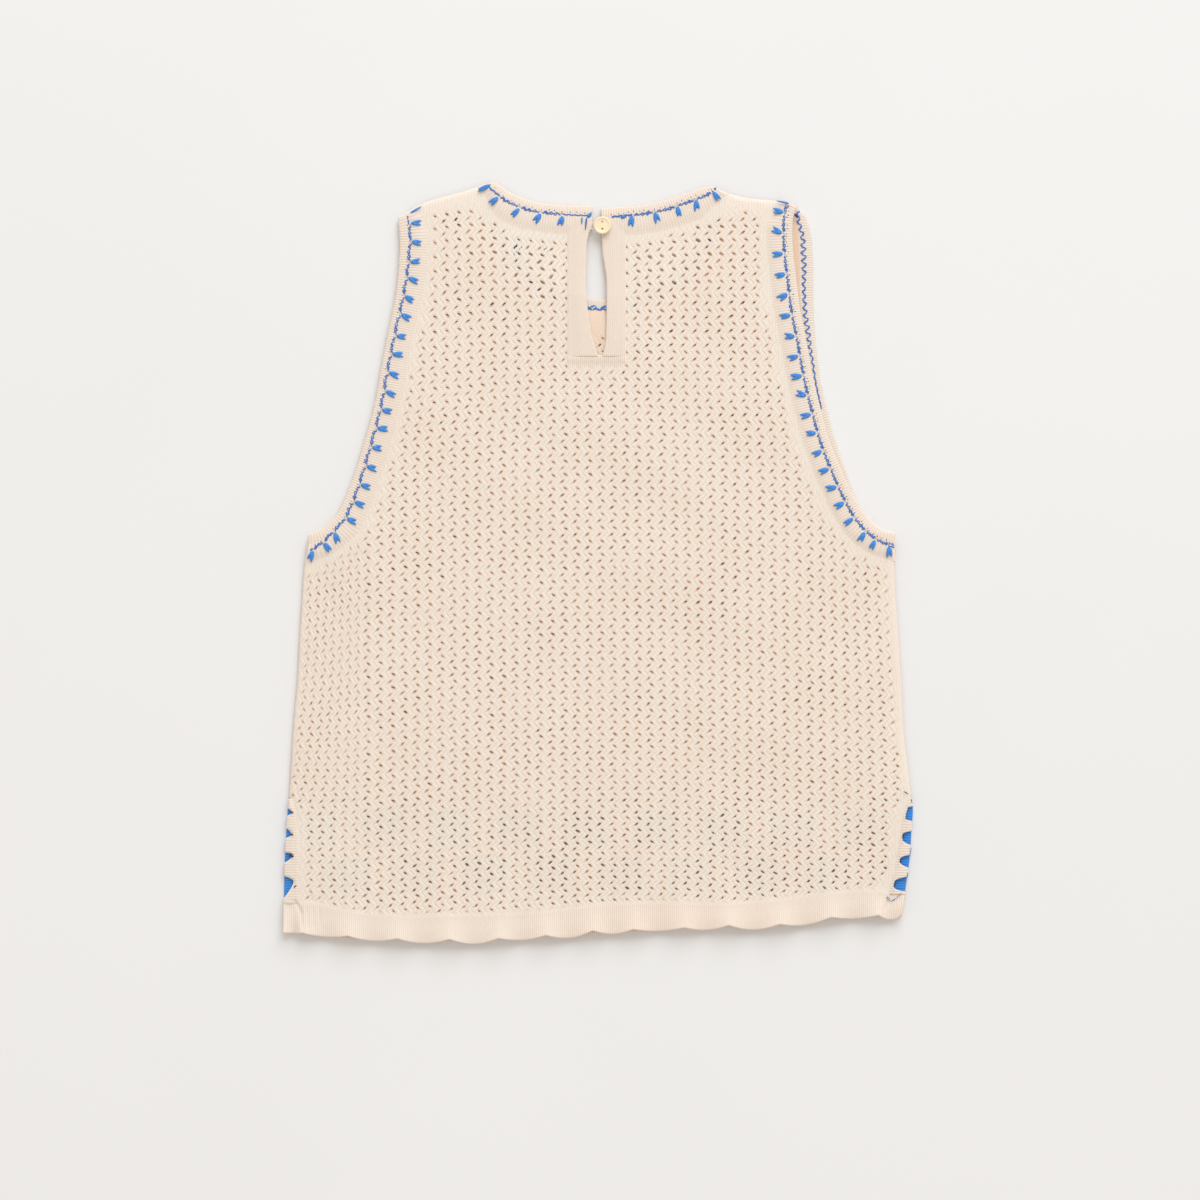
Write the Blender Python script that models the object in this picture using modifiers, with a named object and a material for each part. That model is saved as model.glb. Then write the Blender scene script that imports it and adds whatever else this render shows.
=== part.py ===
"""A child's sleeveless knitted top, laid flat on its front with its back on top.

Each piece that is cut and sewn is one object: the front and back panels, the bands round the neck, the
armholes and the hem, the facings of the keyhole slit, the edgings of the side vents, and the button with
its loop. Lengths are metres, +X is the right of the garment as it lies, +Y runs from hem to neck, and +Z
points up from the surface that the front rests on. The origin is under the middle of the garment.

Tables are in millimetres, with a row for each section along an edge and the columns named above them.
"""

import math

import bmesh
import bpy
import numpy as np

MM = 0.001

# Walls of the knitted cloth, and the room between pieces.
PANEL_WALL = 1.6 * MM
BAND_WALL = 1.8 * MM
SEAM_GAP = 0.3 * MM
HEM_SEAM_GAP = 0.45 * MM

# How the back lies over the front: its underside's height at the edges, how much higher it lies inside
# them and over what distance it rises, and how far it sinks into the front's scoop neck.
BACK_BASE = BAND_WALL + SEAM_GAP
PUFF = 1.0 * MM
ROLL = 9.0 * MM
SCOOP_SAG = 1.6 * MM

# The front's scoop neck is half an ellipse, and its band follows it.
SCOOP_MIDDLE = (3.4 * MM, 226.0 * MM)
SCOOP_HALF_WIDTH = 65.3 * MM
SCOOP_DEPTH = 68.0 * MM
SCOOP_BAND = 5.2 * MM

# The keyhole slit, its facings, and the bar across its foot.
FACING_LEFT = -17.6 * MM
FACING_RIGHT = 15.4 * MM
FACING_FOOT = 119.1 * MM
SLIT_FOOT = 123.3 * MM

# The ruffle: how high the back's and the front's hem arch at a valley of the outline, and how fast the
# back's arches fade up the cloth.
BACK_ARCH = 3.8 * MM
FRONT_ARCH = 1.2 * MM
ARCH_REACH = 9.0 * MM
FRONT_HEM_SHORTER = 0.6 * MM

# The scallops of the vents: their pitch, the share of the edging's depth that is left between two of them,
# and, as shares of the pitch from a gap's middle, where a gap's floor ends and where a scallop is full.
SCALLOP_PITCH = 14.4 * MM
SCALLOP_ROOT_SHARE = 0.16
GAP_END = 0.17
SCALLOP_START = 0.3

# The button, and the yarn that holds it.
BUTTON_CENTRE = (2.4 * MM, 202.8 * MM)
BUTTON_RADIUS = 5.2 * MM
BUTTON_THICKNESS = 2.4 * MM
BUTTON_DISH = 0.7 * MM
BUTTON_HOLE_RADIUS = 0.7 * MM
BUTTON_HOLE_OFFSET = 2.1 * MM
YARN_RADIUS = 0.5 * MM
SHANK_RADIUS = 0.9 * MM
LOOP_LEFT = -7.0 * MM

# How far from a band's end the direction across it starts to turn.
BAND_TURN = 12.0 * MM

# Steps of the grids, and of the fine lines that curves are read from.
FINE_STEPS = 400
ARMHOLE_STEPS = 18
UNDERARM_CROWDING = 1.3
SIDE_STEPS = 10
SHOULDER_STEPS = 7
NECK_STEPS = 6
FACING_STEPS = 2
FACING_SIDE_STEPS = 6
SLIT_STEPS = 7
SCOOP_SIDE_STEPS = 4
SCOOP_FOOT_STEPS = 8
BAND_STEPS = 2
STEPS_PER_WAVE = 8

# Body edges from the hem to the underarm: x, y. A vent's root is straight between its rows.
LEFT_VENT_ROOT = (
    (-180.8, -203.6), (-180.8, -184.2), (-181.1, -163.2), (-182.6, -149.4), (-185.2, -140.4),
)
LEFT_SIDE = (
    (-185.2, -140.4), (-183.5, -112.2), (-182.0, -89.4), (-180.2, -70.2), (-179.0, -46.2),
    (-177.5, -22.2), (-176.3, -3.6), (-174.6, 9.6),
)
RIGHT_VENT_ROOT = (
    (174.6, -199.0), (178.6, -184.0), (181.8, -165.0), (183.8, -150.0), (187.4, -139.2),
)
RIGHT_SIDE = (
    (187.4, -139.2), (185.4, -121.2), (183.4, -106.2), (182.2, -82.2), (180.7, -58.2),
    (179.2, -34.2), (177.6, -10.2), (177.5, 10.6),
)

# Outer edges of the vents' edgings, from the hem to the vent's top: x, y.
LEFT_VENT_EDGE = ((-188.4, -203.6), (-188.2, -184.2), (-187.2, -163.2), (-186.3, -149.4), (-185.6, -141.4))
RIGHT_VENT_EDGE = (
    (183.6, -200.2), (184.9, -190.2), (186.7, -177.0), (187.8, -160.2), (188.6, -147.0), (187.9, -140.2),
)

# Middles of the gaps between scallops, from the lowest up: y.
LEFT_SCALLOP_GAPS = (-193.8, -177.6, -162.4, -149.0)
RIGHT_SCALLOP_GAPS = (-192.6, -178.6, -164.6, -150.4)

# Outer edges of the armhole bands, from the underarm to the shoulder: x, y, the band's width.
LEFT_ARMHOLE = (
    (-173.3, 17.1, 6.6), (-165.3, 21.3, 6.6), (-157.0, 28.6, 6.4), (-152.0, 37.8, 6.0),
    (-146.9, 51.0, 5.6), (-140.0, 72.6, 5.2), (-133.4, 97.8, 5.0), (-129.8, 118.2, 5.0),
    (-125.6, 139.8, 5.2), (-121.4, 160.2, 5.6), (-119.3, 180.6, 6.6), (-119.0, 193.8, 7.2),
    (-119.9, 206.4, 7.4),
)
RIGHT_ARMHOLE_BACK = (
    (177.6, 18.1, 6.6), (171.4, 19.8, 6.4), (163.9, 24.6, 6.4), (157.9, 31.6, 6.2),
    (152.5, 41.0, 6.0), (145.6, 55.8, 5.8), (138.4, 73.8, 5.6), (133.3, 91.8, 5.5),
    (128.6, 111.0, 5.4), (124.9, 131.4, 5.4), (121.0, 151.8, 5.4), (118.4, 172.4, 5.4),
    (116.9, 185.4, 5.4), (116.3, 197.4, 5.4), (116.8, 206.5, 5.6), (118.8, 213.6, 6.2),
)
RIGHT_ARMHOLE_FRONT = (
    (177.6, 18.1, 6.6), (171.4, 19.6, 6.4), (163.9, 24.4, 6.4), (159.0, 30.8, 6.2),
    (154.3, 39.6, 6.0), (148.2, 55.8, 5.8), (142.6, 72.6, 5.6), (137.8, 89.4, 5.6),
    (133.4, 108.6, 5.6), (130.4, 131.4, 5.6), (128.8, 159.0, 5.6), (128.5, 184.8, 5.6),
    (127.2, 199.0, 5.6), (124.2, 208.4, 5.6),
)
LEFT_FRONT_TUCK = 1.2  # the left front band lies this much further in than the back's

# Directions across the bands' ends, in degrees, from the outer edge to the inner one.
LEFT_UNDERARM_CUT = -97.0
LEFT_SHOULDER_CUT = 32.0
RIGHT_UNDERARM_CUT = -89.0
RIGHT_BACK_SHOULDER_CUT = 149.0
RIGHT_FRONT_SHOULDER_CUT = 140.0

# Upper edges of the back's neck band, from the shoulder to the slit: x, y, the band's width.
LEFT_NECK = (
    (-61.9, 228.2, 5.6), (-58.1, 225.8, 5.6), (-53.8, 222.6, 5.6), (-47.4, 219.6, 5.8),
    (-39.2, 216.8, 5.8), (-30.2, 215.3, 5.6), (-20.6, 214.4, 5.6), (-4.1, 214.2, 6.2),
)
RIGHT_NECK = (
    (68.8, 225.6, 5.6), (65.2, 225.3, 5.6), (53.2, 221.8, 5.6), (39.4, 217.2, 5.6),
    (25.6, 214.4, 5.4), (11.8, 213.3, 5.8), (1.0, 212.6, 6.2),
)
LEFT_NECK_CUT = 192.0
RIGHT_NECK_CUT = -24.0
SLIT_CUT = -90.0

# The slit's edges, from its foot to the neck band: x, y.
SLIT_LEFT = (
    (0.2, 123.3), (-2.6, 134.4), (-5.0, 145.2), (-7.0, 157.2), (-8.0, 168.3), (-7.4, 182.1),
    (-5.8, 195.9), (-4.1, 207.6),
)
SLIT_RIGHT = (
    (2.0, 123.3), (3.4, 127.8), (4.6, 141.0), (4.9, 153.6), (4.9, 168.3), (2.4, 186.6),
    (0.6, 196.8), (1.0, 206.0),
)

# Shoulder lines, from the armhole to the neck: x, y.
LEFT_SHOULDER = ((-113.3, 210.6), (-104.2, 216.0), (-93.5, 219.2), (-79.6, 223.0), (-67.7, 227.0))
RIGHT_SHOULDER = ((113.2, 216.6), (99.4, 217.6), (86.2, 219.2), (74.2, 222.8))

# Upper edge of the hem bands: x, y.
HEM_LINE = (
    (-188.6, -204.0), (-170.0, -205.6), (-155.0, -208.8), (-140.0, -211.6), (-119.0, -213.0),
    (-94.0, -212.6), (-57.0, -212.0), (-31.0, -210.4), (0.0, -206.4), (20.0, -205.2), (51.0, -205.2),
    (82.0, -205.6), (110.0, -203.0), (136.0, -199.8), (160.0, -197.8), (183.4, -200.0),
)

# Valleys of the hem's lower edge, where the ruffle arches: x, y, and how far the lobe after it hangs.
HEM_VALLEYS = (
    (-188.6, -221.1, 0.6), (-177.0, -221.2, 1.8), (-149.6, -223.0, 2.6), (-120.2, -224.6, 3.0),
    (-89.0, -225.0, 3.5), (-59.6, -224.4, 2.4), (-31.4, -222.6, 3.4), (-3.2, -219.8, 2.8),
    (20.8, -219.0, 2.0), (51.4, -218.0, 2.6), (77.8, -216.6, 3.4), (108.4, -216.0, 3.0),
    (139.0, -211.8, 1.8), (167.2, -210.6, 2.6), (181.8, -211.4, 0.0),
)

# Profile of the button, turned about its axis: its radius and height as shares of the button's.
BUTTON_PROFILE = ((0.62, 0.0), (0.74, 0.2), (0.88, 1.0), (0.96, 0.9), (1.0, 0.6), (0.95, 0.22), (0.8, 0.0))
BUTTON_SIDES = 28

CREAM = (0.86, 0.76, 0.63)
PALE_CREAM = (0.88, 0.79, 0.67)
BLUE = (0.03, 0.17, 0.62)
BUTTON_CREAM = (0.90, 0.82, 0.58)


def smooth(rows, fractions):
    """Points at fractions of the length of a smooth curve through the rows, in metres.

    The curve is a cubic Hermite spline on the chord length of the first two columns. Further columns,
    such as a width, are interpolated with them.
    """
    points = np.array(rows, float) * MM
    chord = np.linalg.norm(np.diff(points[:, :2], axis=0), axis=1)
    place = np.concatenate([[0.0], np.cumsum(chord)])
    slope = np.gradient(points, place, axis=0)
    fine = even(FINE_STEPS) * place[-1]
    k = np.clip(np.searchsorted(place, fine, side="right") - 1, 0, len(rows) - 2)
    step = chord[k][:, None]
    t = ((fine - place[k]) / chord[k])[:, None]
    curve = (
        (1 + 2 * t) * (1 - t) ** 2 * points[k]
        + t * (1 - t) ** 2 * step * slope[k]
        + t**2 * (3 - 2 * t) * points[k + 1]
        + t**2 * (t - 1) * step * slope[k + 1]
    )
    run = np.concatenate([[0.0], np.cumsum(np.linalg.norm(np.diff(curve[:, :2], axis=0), axis=1))])
    at = np.asarray(fractions) * run[-1]
    return np.stack([np.interp(at, run, column) for column in curve.T], axis=1)


def even(steps):
    """Fractions from 0 to 1 in equal steps."""
    return np.linspace(0.0, 1.0, steps + 1)


def closer_at_start(steps):
    """Fractions from 0 to 1 whose steps grow, for edges that bend most at their start."""
    return even(steps) ** UNDERARM_CROWDING


class Band:
    """A strip that follows an edge, known by its outer edge, its width and the direction across it."""

    def __init__(self, rows, fractions, side, start_cut, end_cut):
        """side is 1 where the strip lies left of its edge's direction, and -1 where it lies right of it.

        The cuts, in degrees, are the directions across the strip at its two ends.
        """
        sections = smooth(rows, fractions)
        run = even(FINE_STEPS)
        fine = smooth(rows, run)
        length = np.linalg.norm(np.diff(fine[:, :2], axis=0), axis=1).sum()
        tangent = np.gradient(fine[:, :2], axis=0)
        angle = np.unwrap(np.arctan2(tangent[:, 1], tangent[:, 0]) + side * math.pi / 2)
        for cut, from_end in ((start_cut, run * length), (end_cut, (1.0 - run) * length)):
            near = np.clip(1.0 - from_end / BAND_TURN, 0.0, 1.0) ** 2
            turn = (math.radians(cut) - angle + math.pi) % (2 * math.pi) - math.pi
            angle = angle + near * turn
        angle = np.interp(fractions, run, angle)
        self.outer = sections[:, :2]
        self.width = sections[:, 2:3]
        self.across = np.stack([np.cos(angle), np.sin(angle)], axis=1)

    def inner(self, beyond=0.0):
        """The inner edge, or a line that far beyond it."""
        return self.outer + (self.width + beyond) * self.across


def share_of(points):
    """How far along a line each of its points lies, from 0 to 1."""
    run = np.concatenate([[0.0], np.cumsum(np.linalg.norm(np.diff(points, axis=0), axis=1))])
    return run / run[-1]


def patch(bottom, top, left, right):
    """A grid of points between four edges that meet at their corners: a bilinear Coons patch.

    Each point is the blend of left and right, plus that of bottom and top, less that of the corners.
    """
    u = ((share_of(bottom) + share_of(top)) / 2)[None, :, None]
    v = ((share_of(left) + share_of(right)) / 2)[:, None, None]
    sideways = (1 - u) * left[:, None] + u * right[:, None]
    upwards = (1 - v) * bottom[None] + v * top[None]
    corners = (1 - v) * ((1 - u) * bottom[0] + u * bottom[-1]) + v * ((1 - u) * top[0] + u * top[-1])
    return sideways + upwards - corners


def strip(one, other, steps=BAND_STEPS):
    """A grid of points between two edges, with the given steps across."""
    return one[:, None] + even(steps)[None, :, None] * (other - one)[:, None]


def joined(*lines):
    """Lines end to end as one, each taking up where the last one ends."""
    return np.concatenate([lines[0]] + [line[1:] for line in lines[1:]])


def line_between(rows, x):
    """A table's second column at x, read straight between its rows."""
    table = np.array(sorted(row[:2] for row in rows)) * MM
    return np.interp(x, table[:, 0], table[:, 1])


def outline_at(y, vent_edge, side, armhole):
    """The x of a side's outline at each y."""
    rows = [row[:2] for row in (*vent_edge, *side[1:-1], *armhole)]
    table = np.array(sorted((row[1], row[0]) for row in rows)) * MM
    return np.interp(y, table[:, 0], table[:, 1])


def top_at(x):
    """The y of the shoulders' and neck's outline at each x."""
    return line_between((*LEFT_SHOULDER, *LEFT_NECK, *RIGHT_NECK, *RIGHT_SHOULDER), x)


def ruffle(x):
    """The hem's lower edge at each x, and how far the cloth arches there, from 0 at a lobe to 1."""
    valleys = np.array(HEM_VALLEYS)
    valleys[:, :3] *= MM
    wave = np.interp(x, valleys[:, 0], np.arange(len(valleys)))
    lobe = np.clip(wave.astype(int), 0, len(valleys) - 2)
    hang = np.sin(math.pi * wave) ** 2
    edge = np.interp(x, valleys[:, 0], valleys[:, 1]) - valleys[lobe, 2] * hang
    return edge, 1.0 - hang


def back_height(x, y):
    """The height of the back layer's underside.

    It rises from the outline inwards, sinks into the scoop, and arches along the hem.
    """
    left = x - outline_at(y, LEFT_VENT_EDGE, LEFT_SIDE, LEFT_ARMHOLE)
    right = outline_at(y, RIGHT_VENT_EDGE, RIGHT_SIDE, RIGHT_ARMHOLE_BACK) - x
    to_side = np.clip(np.minimum(left, right), 0.0, None)
    to_top = np.clip(top_at(x) - y, 0.0, None)
    rise = (1.0 - np.exp(-to_side / ROLL)) * (1.0 - np.exp(-to_top / ROLL))
    out = ((x - SCOOP_MIDDLE[0]) / SCOOP_HALF_WIDTH) ** 2 + ((y - SCOOP_MIDDLE[1]) / SCOOP_DEPTH) ** 2
    sag = np.clip(1.0 - out, 0.0, None)
    edge, arch = ruffle(x)
    fade = np.exp(-np.clip(y - edge, 0.0, None) / ARCH_REACH)
    return BACK_BASE + PUFF * rise - SCOOP_SAG * sag + BACK_ARCH * arch * fade


def front_height(x, y):
    """The height of the front layer's underside: flat on the surface but for the arches of its hem."""
    edge, arch = ruffle(x)
    hem_line = line_between(HEM_LINE, x)
    down = np.clip((hem_line - y) / (hem_line - edge), 0.0, 1.2)
    return FRONT_ARCH * arch * down**2


def material(name, colour, roughness):
    """A Principled material."""
    made = bpy.data.materials.new(name)
    made.use_nodes = True
    shader = made.node_tree.nodes["Principled BSDF"]
    shader.inputs["Base Color"].default_value = (*colour, 1.0)
    shader.inputs["Roughness"].default_value = roughness
    return made


def add(name, mesh_or_curve, colour, roughness=0.9):
    """A named object with its own material, in the garment's collection."""
    made = bpy.data.objects.new(name, mesh_or_curve)
    made.data.materials.append(material(name + "_finish", colour, roughness))
    garment.objects.link(made)
    return made


def cloth(name, points, height, wall, colour, cut=None):
    """A piece of cloth: an open grid laid on its underside's heights, thickened upwards.

    points has rows up the piece and columns across it. cut gives the first and last column and the
    first row of the cells that are cut away from its top.
    """
    if np.cross(points[0, 1] - points[0, 0], points[1, 0] - points[0, 0]) < 0:
        points = points[:, ::-1]
    rows, columns = points.shape[:2]
    x, y = points[..., 0].ravel(), points[..., 1].ravel()
    bm = bmesh.new()
    bmesh.ops.create_grid(bm, x_segments=columns - 1, y_segments=rows - 1, size=1.0)
    for vertex, place in zip(bm.verts, zip(x, y, height(x, y))):
        vertex.co = place
    if cut:
        first, last, bottom = cut
        cells = [
            cell
            for cell in bm.faces
            if first <= cell.index % (columns - 1) < last and cell.index // (columns - 1) >= bottom
        ]
        bmesh.ops.delete(bm, geom=cells, context="FACES")
    mesh = bpy.data.meshes.new(name)
    bm.to_mesh(mesh)
    bm.free()
    made = add(name, mesh, colour)
    thicken = made.modifiers.new("wall", "SOLIDIFY")
    thicken.thickness = wall
    thicken.offset = 1.0
    return made


def armhole_bands():
    """The two halves of each armhole's ring, by name."""
    steps = closer_at_start(ARMHOLE_STEPS)
    left_front = [(x + LEFT_FRONT_TUCK, y, width) for x, y, width in LEFT_ARMHOLE]
    return {
        "left_back": Band(LEFT_ARMHOLE, steps, -1, LEFT_UNDERARM_CUT, LEFT_SHOULDER_CUT),
        "left_front": Band(left_front, steps, -1, LEFT_UNDERARM_CUT, LEFT_SHOULDER_CUT),
        "right_back": Band(RIGHT_ARMHOLE_BACK, steps, 1, RIGHT_UNDERARM_CUT, RIGHT_BACK_SHOULDER_CUT),
        "right_front": Band(RIGHT_ARMHOLE_FRONT, steps, 1, RIGHT_UNDERARM_CUT, RIGHT_FRONT_SHOULDER_CUT),
    }


def neck_bands():
    """The two halves of the back's neck band, and how many of each one's steps lie beside the slit."""
    bands = {}
    for side, rows, cut, turn, facing in (
        ("left", LEFT_NECK, LEFT_NECK_CUT, -1, FACING_LEFT),
        ("right", RIGHT_NECK, RIGHT_NECK_CUT, 1, FACING_RIGHT),
    ):
        fine = Band(rows, even(FINE_STEPS), turn, cut, SLIT_CUT).inner()
        at_facing = np.interp(-abs(facing), -np.abs(fine[:, 0]), even(FINE_STEPS))
        fractions = joined(even(NECK_STEPS) * at_facing, at_facing + even(FACING_STEPS) * (1 - at_facing))
        bands[side] = Band(rows, fractions, turn, cut, SLIT_CUT)
    return bands


def side_edge(vent_root, side, band):
    """A panel's edge from the hem to the shoulder: the vent, the side seam and the armhole."""
    armhole = band.inner(SEAM_GAP)
    seam = smooth(side, even(SIDE_STEPS))
    seam[-1] = armhole[0]
    return joined(np.array(vent_root) * MM, seam, armhole)


def on_hem_line(x, above):
    """Points of the hem bands' upper edge at each x, moved up by above."""
    curve = smooth(HEM_LINE, even(FINE_STEPS))
    return np.stack([x, np.interp(x, curve[:, 0], curve[:, 1]) + above], axis=1)


def panel_foot(left, right, steps):
    """A panel's lower edge, just above the hem band, between its two side edges."""
    x = left[0, 0] + even(steps) * (right[0, 0] - left[0, 0])
    foot = on_hem_line(x, HEM_SEAM_GAP)
    left[0], right[0] = foot[0], foot[-1]
    return foot


def shoulder(rows, start, end):
    """A shoulder line from one given point to another, through the rows between them."""
    line = smooth(rows, even(SHOULDER_STEPS))
    t = even(SHOULDER_STEPS)[:, None]
    return line + (1 - t) * (start - line[0]) + t * (end - line[-1])


def panel(name, left, right, cut_foot, tops, cut_sides, height):
    """A panel whose upper edge has a cut in its middle: one grid, less the cells inside the cut.

    left and right are its side edges. cut_foot is the lower edge of the cut, from left to right. tops are
    the left and right upper edges, each from the armhole inwards, and cut_sides the cut's two sides, each
    from the foot up.
    """
    level_row = len(left) - len(cut_sides[0])
    wing, gap = len(tops[0]) - 1, len(cut_foot) - 1
    level = joined(
        strip(left[level_row : level_row + 1], cut_foot[:1], wing)[0],
        cut_foot,
        strip(cut_foot[-1:], right[level_row : level_row + 1], wing)[0],
    )
    foot = panel_foot(left, right, len(level) - 1)
    below = patch(foot, level, left[: level_row + 1], right[: level_row + 1])
    above_left = patch(level[: wing + 1], tops[0], left[level_row:], cut_sides[0])
    above_right = patch(level[-wing - 1 :], tops[1][::-1], cut_sides[1], right[level_row:])
    inside_cut = strip(above_left[:, -1], above_right[:, 0], gap)[:, 1:-1]
    above = np.concatenate([above_left, inside_cut, above_right], axis=1)
    points = np.concatenate([below, above[1:]])
    cloth(name, points, height, PANEL_WALL, CREAM, cut=(wing, wing + gap, level_row))


def back_panel(arm, neck):
    """The back, with the cut that takes the slit's facings."""
    left = side_edge(LEFT_VENT_ROOT, LEFT_SIDE, arm["left_back"])
    right = side_edge(RIGHT_VENT_ROOT, RIGHT_SIDE, arm["right_back"])
    y = FACING_FOOT - SEAM_GAP
    corners = np.array([(FACING_LEFT - SEAM_GAP, y), (FACING_RIGHT + SEAM_GAP, y)])
    tops, cut_sides = [], []
    for side, rows, edge, corner in (
        ("left", LEFT_SHOULDER, left, corners[0]),
        ("right", RIGHT_SHOULDER, right, corners[1]),
    ):
        neckline = neck[side].inner(SEAM_GAP)[: NECK_STEPS + 1]
        neckline[-1, 0] = corner[0]
        tops.append(joined(shoulder(rows, edge[-1], neckline[0]), neckline))
        cut_sides.append(strip(corner[None], neckline[-1:], FACING_SIDE_STEPS)[0])
    cut_foot = strip(corners[:1], corners[1:], 2)[0]
    panel("back_panel", left, right, cut_foot, tops, cut_sides, back_height)


def scoop(offset):
    """Points of the scoop neck, from the left shoulder to the right, offset outwards from its edge.

    Each of its sides is a third of the half turn, with longer steps than its foot.
    """
    thirds = even(SCOOP_SIDE_STEPS), 1 + even(SCOOP_FOOT_STEPS), 2 + even(SCOOP_SIDE_STEPS)
    angle = math.pi * (1 + joined(*thirds) / 3)
    reach = np.array([SCOOP_HALF_WIDTH + offset, SCOOP_DEPTH + offset])
    return np.array(SCOOP_MIDDLE) + reach * np.stack([np.cos(angle), np.sin(angle)], axis=1)


def front_panel(arm):
    """The front, with the scoop neck as its cut."""
    left = side_edge(LEFT_VENT_ROOT, LEFT_SIDE, arm["left_front"])
    right = side_edge(RIGHT_VENT_ROOT, RIGHT_SIDE, arm["right_front"])
    edge = scoop(SCOOP_BAND + SEAM_GAP)
    rise = SCOOP_SIDE_STEPS
    tops = [shoulder(LEFT_SHOULDER, left[-1], edge[0]), shoulder(RIGHT_SHOULDER, right[-1], edge[-1])]
    cut_sides = [edge[: rise + 1][::-1], edge[-rise - 1 :]]
    panel("front_panel", left, right, edge[rise:-rise], tops, cut_sides, front_height)


def bands(arm, neck):
    """The bands round the armholes and the neck."""
    for name, band in arm.items():
        height = back_height if name.endswith("back") else front_height
        points = strip(band.outer, band.inner())
        cloth("armhole_band_" + name, points, height, BAND_WALL, PALE_CREAM)
    for side, band in neck.items():
        points = strip(band.outer, band.inner())
        cloth("neck_band_back_" + side, points, back_height, BAND_WALL, PALE_CREAM)
    points = strip(scoop(0.0), scoop(SCOOP_BAND))
    cloth("neck_band_front", points, front_height, BAND_WALL, PALE_CREAM)


def plackets(neck):
    """The facings of the slit: a strip on each side, and a bar across the foot."""
    for side, rows, x in (("left", SLIT_LEFT, FACING_LEFT), ("right", SLIT_RIGHT, FACING_RIGHT)):
        slit = smooth(rows, even(SLIT_STEPS))
        top = neck[side].inner(SEAM_GAP)[NECK_STEPS:]
        top[0, 0] = x
        slit[0, 1] += SEAM_GAP
        slit[-1] = top[-1]
        bottom = np.array([[x, slit[0, 1]]]) + even(FACING_STEPS)[:, None] * (slit[0, 0] - x) * [1, 0]
        outer = bottom[0] + even(SLIT_STEPS)[:, None] * (top[0] - bottom[0])
        if side == "left":
            points = patch(bottom, top, outer, slit)
        else:
            points = patch(bottom[::-1], top[::-1], slit, outer)
        cloth("placket_" + side, points, back_height, BAND_WALL, PALE_CREAM)
    x = FACING_LEFT + even(2 * FACING_STEPS) * (FACING_RIGHT - FACING_LEFT)
    lower = np.stack([x, np.full_like(x, FACING_FOOT)], axis=1)
    upper = np.stack([x, np.full_like(x, SLIT_FOOT)], axis=1)
    points = patch(lower, upper, np.array([lower[0], upper[0]]), np.array([lower[-1], upper[-1]]))
    cloth("placket_foot", points, back_height, BAND_WALL, PALE_CREAM)


def hem_bands():
    """The ruffled bands of the back's and the front's hem, with the same steps in every wave."""
    valleys = np.array(HEM_VALLEYS)[:, 0] * MM
    waves = len(valleys) - 1
    x = np.interp(even(waves * STEPS_PER_WAVE) * waves, np.arange(waves + 1), valleys)
    x_top = x.copy()
    x_top[-1] = HEM_LINE[-1][0] * MM
    upper = on_hem_line(x_top, 0.0)
    edge, _ = ruffle(x)
    lower = np.stack([x, edge], axis=1)
    cloth("hem_band_back", strip(lower, upper).swapaxes(0, 1), back_height, BAND_WALL, PALE_CREAM)
    valley_line = np.interp(x, valleys, np.array(HEM_VALLEYS)[:, 1] * MM)
    lower = np.stack([x, valley_line - FRONT_HEM_SHORTER], axis=1)
    cloth("hem_band_front", strip(lower, upper).swapaxes(0, 1), front_height, BAND_WALL, PALE_CREAM)


def scallop_depth(y, gaps):
    """How much of the edging's depth is left at each y: 1 at a scallop's tip and least in a gap."""
    off = np.min(np.abs(y[:, None] - np.array(gaps)[None] * MM), axis=1) / SCALLOP_PITCH
    fullness = np.clip((off - GAP_END) / (SCALLOP_START - GAP_END), 0.0, 1.0)
    return SCALLOP_ROOT_SHARE + (1 - SCALLOP_ROOT_SHARE) * fullness


def vent_edgings():
    """The scalloped edgings of the back's vents, and the plain ones of the front's below them."""
    for side, root_rows, edge_rows, gaps, turn in (
        ("left", LEFT_VENT_ROOT, LEFT_VENT_EDGE, LEFT_SCALLOP_GAPS, -1),
        ("right", RIGHT_VENT_ROOT, RIGHT_VENT_EDGE, RIGHT_SCALLOP_GAPS, 1),
    ):
        ends = np.array([root_rows[0][0], edge_rows[0][0]]) * MM
        low, high = on_hem_line(ends, HEM_SEAM_GAP)[:, 1].max(), edge_rows[-1][1] * MM
        parts = (-SCALLOP_START, -GAP_END, GAP_END, SCALLOP_START)
        bends = [gap * MM + part * SCALLOP_PITCH for gap in gaps for part in parts]
        bends += [row[1] * MM for row in root_rows]
        y = np.array([low, *(bend for bend in sorted(bends) if low < bend < high), high])
        root_table, edge_curve = np.array(root_rows) * MM, smooth(edge_rows, even(FINE_STEPS))
        root_x = np.interp(y, root_table[:, 1], root_table[:, 0]) + turn * SEAM_GAP
        edge_x = np.interp(y, edge_curve[:, 1], edge_curve[:, 0])
        tip_x = root_x + (edge_x - root_x) * scallop_depth(y, gaps)
        root, edge, tip = (np.stack([x, y], axis=1) for x in (root_x, edge_x, tip_x))
        cloth(f"vent_edging_{side}_back", strip(root, tip), back_height, PANEL_WALL, PALE_CREAM)
        cloth(f"vent_edging_{side}_front", strip(root, edge, 1), front_height, PANEL_WALL, BLUE)


def cylinder(radius, low, high, centre, sides):
    """The mesh of an upright cylinder."""
    bm = bmesh.new()
    bmesh.ops.create_cone(
        bm, cap_ends=True, segments=sides, radius1=radius, radius2=radius, depth=high - low
    )
    bmesh.ops.translate(bm, verts=bm.verts, vec=(*centre, (low + high) / 2))
    mesh = bpy.data.meshes.new("cylinder")
    bm.to_mesh(mesh)
    bm.free()
    return mesh


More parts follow.
